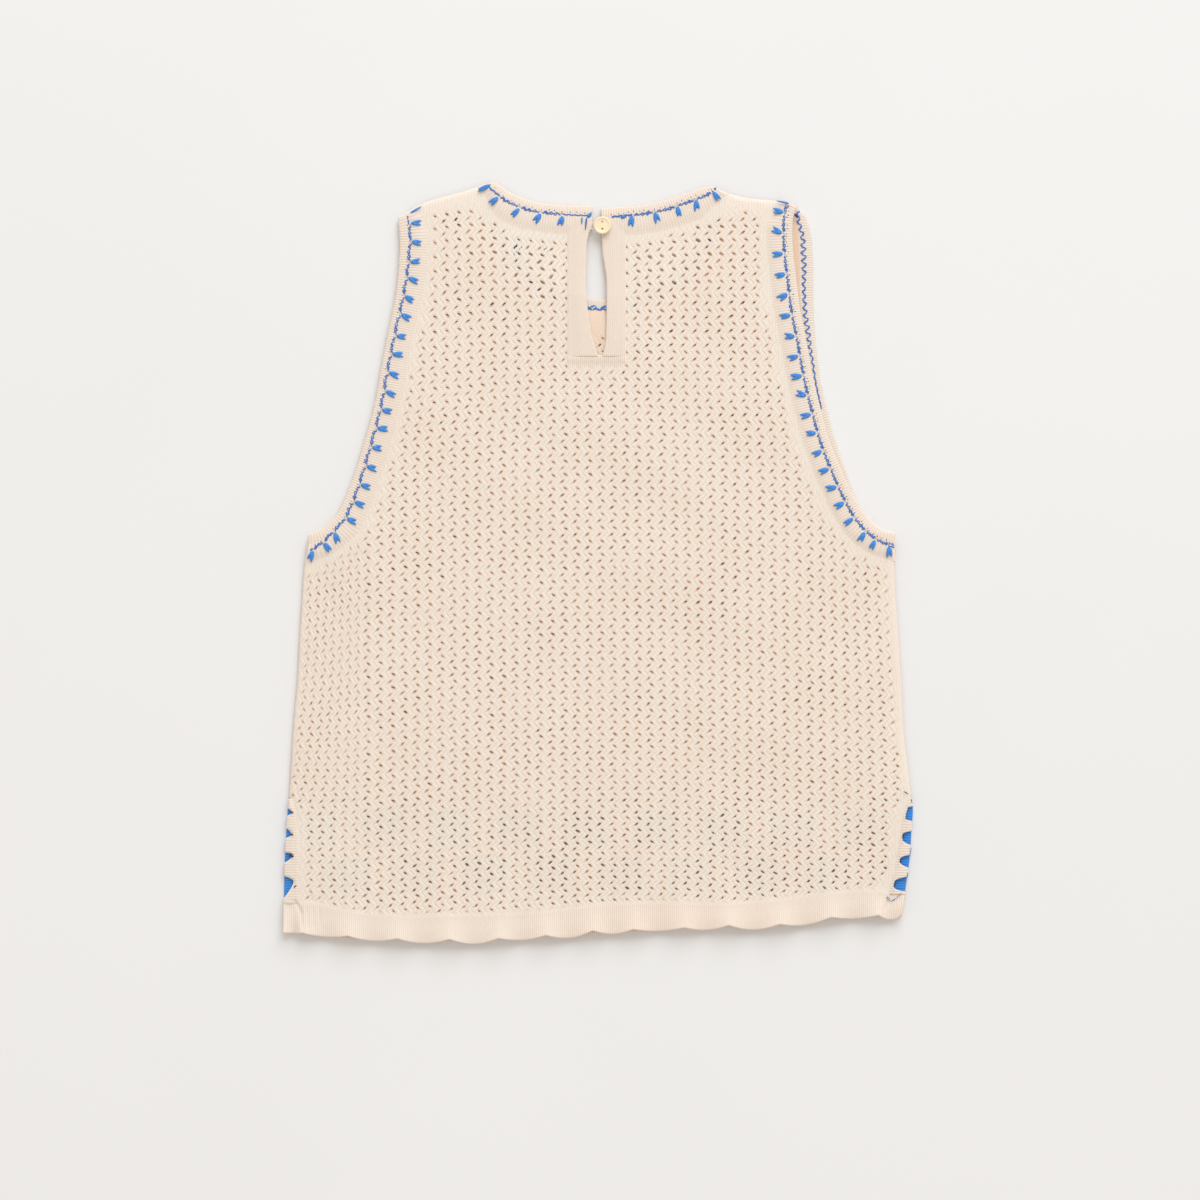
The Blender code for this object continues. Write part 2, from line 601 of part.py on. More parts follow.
def button_and_loop():
    """The two-hole button on its shank of thread, and the loop of yarn that it fastens."""
    middle = np.array(BUTTON_CENTRE)
    facing_top = float(back_height(*middle[:, None])[0]) + BAND_WALL
    yarn_height = facing_top + SEAM_GAP + YARN_RADIUS
    button_low = yarn_height + YARN_RADIUS + SEAM_GAP

    reach = SHANK_RADIUS + SEAM_GAP + YARN_RADIUS
    bend = [
        (middle[0] + reach * math.cos(angle), middle[1] + reach * math.sin(angle))
        for angle in np.linspace(-math.pi / 2, math.pi / 2, 9)
    ]
    route = [(LOOP_LEFT, middle[1] - reach), *bend, (LOOP_LEFT, middle[1] + reach)]
    curve = bpy.data.curves.new("button_loop", "CURVE")
    curve.dimensions = "3D"
    curve.bevel_depth = YARN_RADIUS
    curve.bevel_resolution = 2
    curve.use_fill_caps = True
    spline = curve.splines.new("POLY")
    spline.points.add(len(route) - 1)
    for point, (x, y) in zip(spline.points, route):
        point.co = (x, y, yarn_height, 1.0)
    add("button_loop", curve, PALE_CREAM)

    shank = cylinder(SHANK_RADIUS, facing_top + SEAM_GAP, button_low - SEAM_GAP, middle, 12)
    add("button_shank", shank, PALE_CREAM)

    dish = BUTTON_THICKNESS - BUTTON_DISH
    profile = [(0.0, dish)]
    profile += [(BUTTON_RADIUS * BUTTON_PROFILE[0][0], dish)]
    profile += [(BUTTON_RADIUS * r, dish + BUTTON_DISH * h) for r, h in BUTTON_PROFILE[1:3]]
    profile += [(BUTTON_RADIUS * r, BUTTON_THICKNESS * h) for r, h in BUTTON_PROFILE[3:]]
    profile += [(0.0, 0.0)]
    bm = bmesh.new()
    corners = [bm.verts.new((r, 0.0, h)) for r, h in profile]
    for one, other in zip(corners, corners[1:]):
        bm.edges.new((one, other))
    mesh = bpy.data.meshes.new("button")
    bm.to_mesh(mesh)
    bm.free()
    button = add("button", mesh, BUTTON_CREAM, 0.35)
    button.location = (*middle, button_low)
    turn = button.modifiers.new("turned", "SCREW")
    turn.steps = turn.render_steps = BUTTON_SIDES
    turn.use_merge_vertices = True
    turn.merge_threshold = 0.00001
    for sign in (-1, 1):
        place = (middle[0], middle[1] + sign * BUTTON_HOLE_OFFSET)
        bore = cylinder(BUTTON_HOLE_RADIUS, button_low - MM, button_low + BUTTON_THICKNESS + MM, place, 12)
        cutter = bpy.data.objects.new("thread_hole", bore)
        cutter.hide_render = True
        cutter.display_type = "WIRE"
        cutters.objects.link(cutter)
        cut = button.modifiers.new("hole", "BOOLEAN")
        cut.operation = "DIFFERENCE"
        cut.object = cutter


def main():
    """Build every piece of the garment."""
    arm, neck = armhole_bands(), neck_bands()
    front_panel(arm)
    back_panel(arm, neck)
    bands(arm, neck)
    plackets(neck)
    hem_bands()
    vent_edgings()
    button_and_loop()


for old in list(bpy.data.objects):
    bpy.data.objects.remove(old, do_unlink=True)
garment = bpy.data.collections.new("crochet_top")
cutters = bpy.data.collections.new("cutters")
for collection in (garment, cutters):
    bpy.context.scene.collection.children.link(collection)
main()
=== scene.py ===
"""Looks of a child's sleeveless knitted top, laid flat on its front with its back on top.

The cloth is modelled as it is made: two panels of open knit with real holes, strips folded double round
the neck, the armholes and the hem, facings beside the keyhole slit, scalloped edgings on the side vents,
and blue yarn stitched over the seams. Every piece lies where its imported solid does, in metres, with +X to
the right of the garment as it lies, +Y from hem to neck and +Z up.

Tables are in millimetres, a row for each section along an edge, with the columns named above them.
"""
import logging
import math
from collections.abc import Callable
from dataclasses import dataclass
from enum import Enum

import bpy
import numpy as np
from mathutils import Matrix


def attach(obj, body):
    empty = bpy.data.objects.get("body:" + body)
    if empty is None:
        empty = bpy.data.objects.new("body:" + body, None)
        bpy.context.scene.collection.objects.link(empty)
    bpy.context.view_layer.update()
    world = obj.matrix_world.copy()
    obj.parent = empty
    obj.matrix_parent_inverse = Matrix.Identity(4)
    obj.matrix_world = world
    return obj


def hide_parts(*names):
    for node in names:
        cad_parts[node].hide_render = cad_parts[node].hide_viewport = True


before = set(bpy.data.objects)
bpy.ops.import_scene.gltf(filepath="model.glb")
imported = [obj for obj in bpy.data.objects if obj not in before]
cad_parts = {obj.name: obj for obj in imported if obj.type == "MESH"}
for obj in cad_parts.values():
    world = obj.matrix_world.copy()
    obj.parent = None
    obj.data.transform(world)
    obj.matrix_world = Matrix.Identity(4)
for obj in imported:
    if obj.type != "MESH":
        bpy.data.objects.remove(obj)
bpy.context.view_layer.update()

Array = np.ndarray
Height = Callable[[Array, Array], Array]
Pair = tuple[float, float]
Row = tuple[float, ...]
Table = tuple[Row, ...]
Colour = tuple[float, float, float, float]
Material = bpy.types.Material
Socket = bpy.types.NodeSocket

MM = 0.001
TURN = 2 * math.pi
LOG = logging.getLogger("knitted_top")

# Body edges from the hem to the underarm: x, y.
LEFT_VENT_ROOT = ((-180.8, -203.6), (-180.8, -184.2), (-181.1, -163.2), (-182.6, -149.4), (-185.2, -140.4))
LEFT_SIDE = (
    (-185.2, -140.4), (-183.5, -112.2), (-182, -89.4), (-180.2, -70.2), (-179, -46.2),
    (-177.5, -22.2), (-176.3, -3.6), (-174.6, 9.6),
)
RIGHT_VENT_ROOT = ((174.6, -199), (178.6, -184), (181.8, -165), (183.8, -150), (187.4, -139.2))
RIGHT_SIDE = (
    (187.4, -139.2), (185.4, -121.2), (183.4, -106.2), (182.2, -82.2), (180.7, -58.2),
    (179.2, -34.2), (177.6, -10.2), (177.5, 10.6),
)

# Outer edges of the vents' edgings, from the hem to the vent's top: x, y.
LEFT_VENT_EDGE = ((-188.4, -203.6), (-188.2, -184.2), (-187.2, -163.2), (-186.3, -149.4), (-185.6, -141.4))
RIGHT_VENT_EDGE = (
    (183.6, -200.2), (184.9, -190.2), (186.7, -177), (187.8, -160.2), (188.6, -147), (187.9, -140.2),
)

# Outer edges of the armhole bands, from the underarm to the shoulder: x, y, the band's width.
LEFT_ARMHOLE = (
    (-173.3, 17.1, 6.6), (-165.3, 21.3, 6.6), (-157, 28.6, 6.4), (-152, 37.8, 6),
    (-146.9, 51, 5.6), (-140, 72.6, 5.2), (-133.4, 97.8, 5), (-129.8, 118.2, 5),
    (-125.6, 139.8, 5.2), (-121.4, 160.2, 5.6), (-119.3, 180.6, 6.6), (-119, 193.8, 7.2),
    (-119.9, 206.4, 7.4),
)
RIGHT_ARMHOLE_BACK = (
    (177.6, 18.1, 6.6), (171.4, 19.8, 6.4), (163.9, 24.6, 6.4), (157.9, 31.6, 6.2),
    (152.5, 41, 6), (145.6, 55.8, 5.8), (138.4, 73.8, 5.6), (133.3, 91.8, 5.5),
    (128.6, 111, 5.4), (124.9, 131.4, 5.4), (121, 151.8, 5.4), (118.4, 172.4, 5.4),
    (116.9, 185.4, 5.4), (116.3, 197.4, 5.4), (116.8, 206.5, 5.6), (118.8, 213.6, 6.2),
)
RIGHT_ARMHOLE_FRONT = (
    (177.6, 18.1, 6.6), (171.4, 19.6, 6.4), (163.9, 24.4, 6.4), (159, 30.8, 6.2),
    (154.3, 39.6, 6), (148.2, 55.8, 5.8), (142.6, 72.6, 5.6), (137.8, 89.4, 5.6),
    (133.4, 108.6, 5.6), (130.4, 131.4, 5.6), (128.8, 159, 5.6), (128.5, 184.8, 5.6),
    (127.2, 199, 5.6), (124.2, 208.4, 5.6),
)
LEFT_FRONT_TUCK = 1.2

# Upper edges of the back's neck band, from the shoulder to the slit: x, y, the band's width.
LEFT_NECK = (
    (-61.9, 228.2, 5.6), (-58.1, 225.8, 5.6), (-53.8, 222.6, 5.6), (-47.4, 219.6, 5.8),
    (-39.2, 216.8, 5.8), (-30.2, 215.3, 5.6), (-20.6, 214.4, 5.6), (-3.7, 214.2, 6.2),
)
RIGHT_NECK = (
    (68.8, 225.6, 5.6), (65.2, 225.3, 5.6), (53.2, 221.8, 5.6), (39.4, 217.2, 5.6),
    (25.6, 214.4, 5.4), (11.8, 213.3, 5.8), (1.5, 212.6, 6.2),
)

# The slit's edges, from its foot to the neck band: x, y.
SLIT_LEFT = (
    (0.2, 123.3), (-3.4, 134.4), (-5.4, 145.2), (-6.9, 157.2), (-7.4, 168.3), (-6.8, 182.1),
    (-6.2, 194.5), (-5.2, 198.2), (-3.6, 201), (-3.2, 204), (-3.4, 207.6),
)
SLIT_RIGHT = (
    (2, 123.3), (3.4, 127.8), (4.6, 141), (4.9, 153.6), (4.9, 168.3), (2.4, 186.6),
    (1.9, 196.8), (1.6, 206),
)

# Shoulder lines, from the armhole to the neck: x, y.
LEFT_SHOULDER = ((-113.3, 210.6), (-104.2, 216.0), (-93.5, 219.2), (-79.6, 223.0), (-67.7, 227.0))
RIGHT_SHOULDER = ((113.2, 216.6), (99.4, 217.6), (86.2, 219.2), (74.2, 222.8))

# Upper edge of the hem bands: x, y.
HEM_LINE = (
    (-188.6, -204), (-170, -205.6), (-155, -208.8), (-140, -211.6), (-119, -213),
    (-94, -212.6), (-57, -212), (-31, -210.4), (0, -206.4), (20, -205.2), (51, -205.2),
    (82, -205.6), (110, -203), (136, -199.8), (160, -197.8), (183.4, -200),
)

# Valleys of the hem's lower edge, where the ruffle arches: x, y, and how far the lobe after it hangs.
HEM_VALLEYS = (
    (-188.6, -221.1, 0.6), (-177, -221.2, 1.8), (-149.6, -223, 2.6), (-120.2, -224.6, 3),
    (-89, -225, 3.5), (-59.6, -224.4, 2.4), (-31.4, -222.6, 3.4), (-3.2, -219.8, 2.8),
    (20.8, -219, 2), (51.4, -218, 2.6), (77.8, -216.6, 3.4), (108.4, -216, 3),
    (139, -211.8, 1.8), (167.2, -210.6, 2.6), (181.8, -211.4, 0),
)

# The keyhole's facings, and the bar across the slit's foot.
FACING_LEFT = -17.6 * MM
FACING_RIGHT = 15.4 * MM
FACING_FOOT = 119.1 * MM
SLIT_FOOT = 123.3 * MM

# How round the garment's lower right corner is.
CORNER = 4.5 * MM

# How many steps a curve is drawn in through its table.
FINE_STEPS = 400


def even(steps: int) -> Array:
    """Fractions from 0 to 1 in equal steps."""
    return np.linspace(0.0, 1.0, steps + 1)


def read_grid(grid: Array, row: Array, column: Array) -> Array:
    """A grid's value between its rows and columns, straight both ways."""
    top = np.clip(row.astype(int), 0, grid.shape[0] - 2)
    left = np.clip(column.astype(int), 0, grid.shape[1] - 2)
    down, along = row - top, column - left
    upper = grid[top, left] * (1 - along) + grid[top, left + 1] * along
    lower = grid[top + 1, left] * (1 - along) + grid[top + 1, left + 1] * along
    return upper * (1 - down) + lower * down


def spread(values: Array, step: int) -> Array:
    """Values known at every few rows and columns, read straight between them at all of these."""
    row, column = (np.arange((count - 1) * step + 1) / step for count in values.shape)
    return read_grid(values, row[:, None], column[None])


def eased(share: Array) -> Array:
    """A share clipped to 0 to 1 and eased at both ends: 3 t squared less 2 t cubed."""
    t = np.clip(share, 0.0, 1.0)
    return t * t * (3.0 - 2.0 * t)


def run_along(points: Array) -> Array:
    """The distance along a line of points up to each of them."""
    return np.concatenate([[0.0], np.cumsum(np.linalg.norm(np.diff(points, axis=0), axis=1))])


def read_line(line: Array, run: Array, at: Array) -> Array:
    """A line's columns, known at distances along it, read straight between them at other distances."""
    return np.stack([np.interp(at, run, column) for column in line.T], axis=-1)


def abreast(*parts: Array) -> Array:
    """Parts side by side, along a new last axis."""
    return np.stack(parts, axis=-1)


def unit(ways: Array) -> Array:
    """Directions at a length of one."""
    return ways / np.maximum(np.linalg.norm(ways, axis=-1, keepdims=True), 1e-12)


def directions(angle: Array) -> Array:
    """The directions in plan at angles from the right, anticlockwise."""
    return abreast(np.cos(angle), np.sin(angle))


def left_of(ways: Array) -> Array:
    """Directions in plan turned left by a quarter."""
    return abreast(-ways[..., 1], ways[..., 0])


def lifted(place: Array, z: Array) -> Array:
    """Places in plan with their heights."""
    return np.concatenate([place, z[..., None]], axis=-1)


def quarter_circle(share: Array) -> Array:
    """The height of a quarter circle over its foot, at a share of its reach that is clipped to 0 to 1."""
    return np.sqrt(1.0 - (1.0 - np.clip(share, 0.0, 1.0)) ** 2)


def smooth(rows: Table, fractions: Array) -> Array:
    """Points of a smooth curve through a table's rows.

    The curve is a cubic Hermite spline on the chord length of the first two columns, and further columns,
    such as a width, are interpolated with them.

    Args:
        rows: The table, in millimetres.
        fractions: Where to read it, as fractions of its length.

    Returns:
        One row for each fraction, in metres.
    """
    points = np.array(rows, float) * MM
    place = run_along(points[:, :2])
    slope = np.gradient(points, place, axis=0)
    fine = even(FINE_STEPS) * place[-1]
    k = np.clip(np.searchsorted(place, fine, side="right") - 1, 0, len(rows) - 2)
    step = np.diff(place)[k][:, None]
    t = (fine - place[k])[:, None] / step
    curve = (
        (1 + 2 * t) * (1 - t) ** 2 * points[k]
        + t * (1 - t) ** 2 * step * slope[k]
        + t**2 * (3 - 2 * t) * points[k + 1]
        + t**2 * (t - 1) * step * slope[k + 1]
    )
    run = run_along(curve[:, :2])
    return read_line(curve, run, fractions * run[-1])


def read_table(rows: Table, x: Array) -> Array:
    """A table's second column at x of its first, read straight between its rows, all in metres."""
    table = np.array(sorted(rows)) * MM
    return np.interp(x, table[:, 0], table[:, 1])


def slow_waves(x: Array, y: Array, seed: int, wavelength: float, waves: int = 5) -> Array:
    """A smooth uneven field from -1 to 1: the mean of a few sine waves in seeded directions.

    Args:
        x: Where to read it.
        y: Where to read it.
        seed: Picks the directions and phases.
        wavelength: The middle length of the waves, in metres.
        waves: How many there are.

    Returns:
        The field at each place.
    """
    rng = np.random.default_rng(seed)
    total = np.zeros_like(x)
    for _ in range(waves):
        angle, phase = rng.uniform(0.0, TURN, 2)
        turns = TURN / (wavelength * rng.uniform(0.6, 1.5))
        total += np.sin(turns * (x * math.cos(angle) + y * math.sin(angle)) + phase)
    return total / waves


@dataclass(frozen=True)
class Lie:
    """How the two layers of cloth lie on the surface and on each other.

    The back's underside is highest inside its outline, sinks into the front's scoop neck and arches at
    the hem. The front lies flat but for the low arches of its own hem.
    """

    base: float = 2.1 * MM
    puff: float = 1.0 * MM
    roll: float = 9.0 * MM
    waver: float = 0.35 * MM
    waver_length: float = 70 * MM
    sag: float = 1.6 * MM
    scoop_middle: Pair = (3.4 * MM, 226.0 * MM)
    scoop_size: Pair = (65.3 * MM, 68.0 * MM)
    scoop_band: float = 5.2 * MM
    scoop_ends: Pair = (0.04, 0.1)
    back_arch: float = 3.8 * MM
    front_arch: float = 1.2 * MM
    arch_reach: float = 9.0 * MM
    front_hem_shorter: float = 0.6 * MM

    # Creases of the back's cloth: from x, y to x, y, half width, depth.
    creases: Table = (
        (-181.6, -202.4, -177.8, -208.6, 0.9, 0.9),
        (-177.8, -208.6, -177, -217, 0.9, 0.7),
        (-173.8, -208, -173.4, -218.5, 0.8, 0.5),
        (-170.6, -207.5, -170, -218, 0.8, 0.4),
        (-167, -208.5, -166.2, -217.5, 0.9, 0.35),
        (-171.8, -198.6, -171.4, -202.2, 0.6, 0.6),
        (-164.6, -199, -163.4, -202, 0.6, 0.5),
        (-140.5, 4, -141.5, -86, 3, 0.35),
        (172, -206, 176, -198.5, 1.1, 0.45),
        (166.5, -207, 168.5, -199, 1, 0.3),
    )

    def creased(self, x: Array, y: Array) -> Array:
        """How deep the creases are: a bell curve of the distance to each one's line."""
        depth = np.zeros_like(x)
        for x0, y0, x1, y1, half, deep in np.array(self.creases) * MM:
            long = math.hypot(x1 - x0, y1 - y0)
            way = (x1 - x0) / long, (y1 - y0) / long
            share = np.clip((x - x0) * way[0] + (y - y0) * way[1], 0.0, long)
            apart = np.hypot(x - x0 - share * way[0], y - y0 - share * way[1])
            depth += deep * np.exp(-((apart / half) ** 2))
        return depth

    @staticmethod
    def outline_at(y: Array, *tables: Table) -> Array:
        """The x of a side's outline at each y, read through its tables."""
        return read_table(tuple((row[1], row[0]) for table in tables for row in table), y)

    @staticmethod
    def ruffle(x: Array) -> tuple[Array, Array]:
        """The hem's lower edge at each x, and how far the cloth arches there, from 0 at a lobe to 1."""
        valleys = np.array(HEM_VALLEYS) * MM
        wave = np.interp(x, valleys[:, 0], np.arange(len(valleys)))
        lobe = np.clip(wave.astype(int), 0, len(valleys) - 2)
        hang = np.abs(np.sin(math.pi * wave)) ** 1.1
        edge = np.interp(x, valleys[:, 0], valleys[:, 1]) - valleys[lobe, 2] * hang
        past = np.clip(x - valleys[-1, 0] + CORNER, 0.0, CORNER)
        edge = edge + CORNER - np.sqrt(CORNER**2 - past**2)
        return edge, 0.5 + 0.5 * np.cos(TURN * wave)

    @staticmethod
    def hem_line(x: Array) -> Array:
        """The y of the hem bands' upper edge at each x."""
        curve = smooth(HEM_LINE, even(FINE_STEPS))
        return np.interp(x, curve[:, 0], curve[:, 1])

    def back(self, x: Array, y: Array) -> Array:
        """The height of the back layer's underside: 1 less an exponential of the way in from each edge,
        less a paraboloid over the scoop, plus the hem's arches fading up the cloth."""
        left = x - self.outline_at(y, LEFT_VENT_EDGE, LEFT_SIDE[1:-1], LEFT_ARMHOLE)
        right = self.outline_at(y, RIGHT_VENT_EDGE, RIGHT_SIDE[1:-1], RIGHT_ARMHOLE_BACK) - x
        top = read_table((*LEFT_SHOULDER, *(r[:2] for r in (*LEFT_NECK, *RIGHT_NECK)), *RIGHT_SHOULDER), x)
        to_side = np.clip(np.minimum(left, right), 0.0, None)
        to_top = np.clip(top - y, 0.0, None)
        rise = (1.0 - np.exp(-to_side / self.roll)) * (1.0 - np.exp(-to_top / self.roll))
        across = (x - self.scoop_middle[0]) / self.scoop_size[0]
        down = (y - self.scoop_middle[1]) / self.scoop_size[1]
        sunk = np.clip(1.0 - across**2 - down**2, 0.0, None)
        edge, arch = self.ruffle(x)
        fade = np.exp(-np.clip(y - edge, 0.0, None) / self.arch_reach)
        height = self.base + self.puff * rise - self.sag * sunk + self.back_arch * arch * fade
        return height - self.creased(x, y) + self.waver * rise * slow_waves(x, y, 2, self.waver_length)

    def front(self, x: Array, y: Array) -> Array:
        """The height of the front layer's underside: low arches that grow down the hem band."""
        edge, arch = self.ruffle(x)
        line = self.hem_line(x)
        down = np.clip((line - y) / (line - edge), 0.0, 1.2)
        return self.front_arch * arch * down**2

    def scoop(self, offset: float, steps: int) -> Array:
        """Points of the front's scoop neck from the left shoulder to the right, moved outwards."""
        left, right = self.scoop_ends
        angle = math.pi + left + (math.pi - left - right) * even(steps)
        reach = np.array(self.scoop_size) + offset
        return np.array(self.scoop_middle) + reach * directions(angle)

    def out_of_scoop(self, points: Array) -> Array:
        """The directions from the scoop's middle to points."""
        return unit(points - np.array(self.scoop_middle))


LIE = Lie()


@dataclass
class Sections:
    """Sections along a strip: its outer edge, the direction across it, its width and the way run."""

    outer: Array
    across: Array
    width: Array
    run: Array

    @classmethod
    def of_edge(cls, rows: Table, side: int, cuts: Pair, step: float, turn: float = 12 * MM) -> "Sections":
        """Sections of a strip that follows an edge.

        Args:
            rows: The edge's table: x, y and the strip's width.
            side: 1 where the strip lies left of its edge's direction, and -1 where it lies right of it.
            cuts: The directions across the strip at its two ends, in degrees.
            step: The way between sections, in metres.
            turn: How far from an end the direction starts to turn.

        Returns:
            The sections, with closer ones at the two ends.
        """
        fine = smooth(rows, even(FINE_STEPS))
        run = run_along(fine[:, :2])
        tangent = np.gradient(fine[:, :2], axis=0)
        angle = np.unwrap(np.arctan2(tangent[:, 1], tangent[:, 0]) + side * math.pi / 2)
        for cut, from_end in zip(cuts, (run, run[-1] - run)):
            near = np.clip(1.0 - from_end / turn, 0.0, 1.0) ** 2
            swing = (math.radians(cut) - angle + math.pi) % TURN - math.pi
            angle = angle + near * swing
        at = with_close_ends(run[-1], step)
        across = directions(np.interp(at, run, angle))
        return cls(read_line(fine[:, :2], run, at), across, np.interp(at, run, fine[:, 2]), at)

    def inner(self, beyond: float = 0.0) -> Array:
        """The inner edge, or a line that far beyond it."""
        return self.outer + (self.width + beyond)[:, None] * self.across


def with_close_ends(length: float, step: float) -> Array:
    """Distances from 0 to a length in even steps, with three close ones at each end for a round end."""
    close = np.array([0.0, 0.07, 0.25, 0.55, 0.9]) * MM
    middle = np.linspace(close[-1], length - close[-1], max(2, round(length / step)))
    return np.concatenate([close[:-1], middle, (length - close[:-1])[::-1]])


# Directions across the bands' ends, in degrees, from the outer edge to the inner one: start, end.
ARMHOLE_CUTS = {
    "left_back": (-97.0, 32.0),
    "left_front": (-97.0, 32.0),
    "right_back": (-89.0, 149.0),
    "right_front": (-89.0, 140.0),
}
NECK_CUTS = {"left": (192.0, -90.0), "right": (-24.0, -90.0)}
TAPE_RIB = 1.5 * MM
SAMPLES_PER_RIB = 4


def armhole_sections(step: float) -> dict[str, Sections]:
    """Sections of the two halves of each armhole's band, by name."""
    tucked = tuple((x + LEFT_FRONT_TUCK, y, width) for x, y, width in LEFT_ARMHOLE)
    tables = {
        "left_back": (LEFT_ARMHOLE, -1),
        "left_front": (tucked, -1),
        "right_back": (RIGHT_ARMHOLE_BACK, 1),
        "right_front": (RIGHT_ARMHOLE_FRONT, 1),
    }
    return {
        name: Sections.of_edge(rows, side, ARMHOLE_CUTS[name], step) for name, (rows, side) in tables.items()
    }


def neck_sections(step: float) -> dict[str, Sections]:
    """Sections of the two halves of the back's neck band, by side."""
    return {
        "left": Sections.of_edge(LEFT_NECK, -1, NECK_CUTS["left"], step),
        "right": Sections.of_edge(RIGHT_NECK, 1, NECK_CUTS["right"], step),
    }


def placed(name: str, data: bpy.types.ID) -> bpy.types.Object:
    """A new object in the scene, which stays at the origin unless it is moved."""
    made = bpy.data.objects.new(name, data)
    bpy.context.scene.collection.objects.link(made)
    return made


@dataclass
class Shape:
    """A mesh in the making: its points, faces of four corners, weave coordinates and relief.

    The weave coordinates count stitches along and across, and become the UV map. The relief says how
    high a point stands in its knit, from -1 in a groove or at a hole's rim to 1 on a rib, and the knit's
    finish paints shade where it is low and light where it is high.
    """

    points: Array
    faces: Array
    weave: Array
    relief: Array

    @classmethod
    def from_grid(cls, points: Array, weave: Array, relief: Array, flipped: bool = False) -> "Shape":
        """A grid of points as a surface whose faces look along its row's direction turned left.

        Args:
            points: The places, rows by columns by 3.
            weave: The weave coordinates, rows by columns by 2.
            relief: The relief, rows by columns.
            flipped: Whether the faces look the other way.

        Returns:
            The surface.
        """
        rows, columns = points.shape[:2]
        corner = np.arange(rows * columns).reshape(rows, columns)
        faces = abreast(corner[:-1, :-1], corner[:-1, 1:], corner[1:, 1:], corner[1:, :-1])
        faces = faces.reshape(-1, 4)
        if flipped:
            faces = faces[:, ::-1]
        return cls(points.reshape(-1, 3), faces, weave.reshape(-1, 2), relief.ravel())

    @classmethod
    def joined(cls, shapes: "list[Shape]") -> "Shape":
        """Several shapes as one."""
        first = np.cumsum([0] + [len(shape.points) for shape in shapes[:-1]])
        rows = [(one.points, one.faces + start, one.weave, one.relief) for one, start in zip(shapes, first)]
        return cls(*(np.concatenate(parts) for parts in zip(*rows)))

    def with_faces(self, keep: Array) -> "Shape":
        """The shape with only the faces that are kept, and the points that they use."""
        faces = self.faces[keep]
        used, corners = np.unique(faces, return_inverse=True)
        return Shape(self.points[used], corners.reshape(-1, 4), self.weave[used], self.relief[used])

    def flat_area(self) -> float:
        """The area of the faces seen from above."""
        corners = self.points[self.faces][..., :2]
        one, other = corners[:, 2] - corners[:, 0], corners[:, 3] - corners[:, 1]
        return float(np.abs(one[:, 0] * other[:, 1] - one[:, 1] * other[:, 0]).sum() / 2)

    def build(self, name: str, finish: Material, slot: str, *nodes: str) -> bpy.types.Object:
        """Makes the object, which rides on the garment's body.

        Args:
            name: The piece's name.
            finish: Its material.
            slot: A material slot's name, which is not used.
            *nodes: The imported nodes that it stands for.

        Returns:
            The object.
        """
        mesh = bpy.data.meshes.new(name)
        mesh.vertices.add(len(self.points))
        mesh.vertices.foreach_set("co", self.points.astype(np.float32).ravel())
        mesh.loops.add(self.faces.size)
        mesh.loops.foreach_set("vertex_index", self.faces.astype(np.int32).ravel())
        mesh.polygons.add(len(self.faces))
        mesh.polygons.foreach_set("loop_start", np.arange(0, self.faces.size, 4, dtype=np.int32))
        mesh.update(calc_edges=True)
        weave = mesh.uv_layers.new(name="weave")
        weave.data.foreach_set("uv", self.weave[self.faces.ravel()].astype(np.float32).ravel())
        relief = mesh.attributes.new("relief", "FLOAT", "POINT")
        relief.data.foreach_set("value", self.relief.astype(np.float32))
        mesh.shade_smooth()
        mesh.validate()
        mesh.materials.append(finish)
        made = placed(name, mesh)
        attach(made, "root")
        if nodes:
            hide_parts(*nodes)
        LOG.info("%s: %d faces", name, len(self.faces))
        return made


def operator(operation: str, swapped: bool = False) -> Callable[["Value", "Value | float"], "Value"]:
    """A method that adds a Math node for a value and another term, or for the two swapped."""

    def applied(value: "Value", other: "Value | float") -> "Value":
        """The result of the operation."""
        return value.graph.maths(operation, *((other, value) if swapped else (value, other)))

    return applied


class Value:
    """A shader socket that takes part in Python arithmetic, each operation adding a Math node."""

    def __init__(self, graph: "Graph", socket: Socket) -> None:
        """Wraps a socket of a graph."""
        self.graph = graph
        self.socket = socket

    __add__ = __radd__ = operator("ADD")
    __sub__ = operator("SUBTRACT")
    __rsub__ = operator("SUBTRACT", swapped=True)
    __mul__ = __rmul__ = operator("MULTIPLY")
    __gt__ = operator("GREATER_THAN")
    __lt__ = operator("LESS_THAN")

    def clipped(self) -> "Value":
        """The value held between 0 and 1."""
        clamp = self.graph.node("ShaderNodeClamp", {}, {"Value": self})
        return Value(self.graph, clamp.outputs[0])


Input = Value | float | tuple[float, ...] | Socket


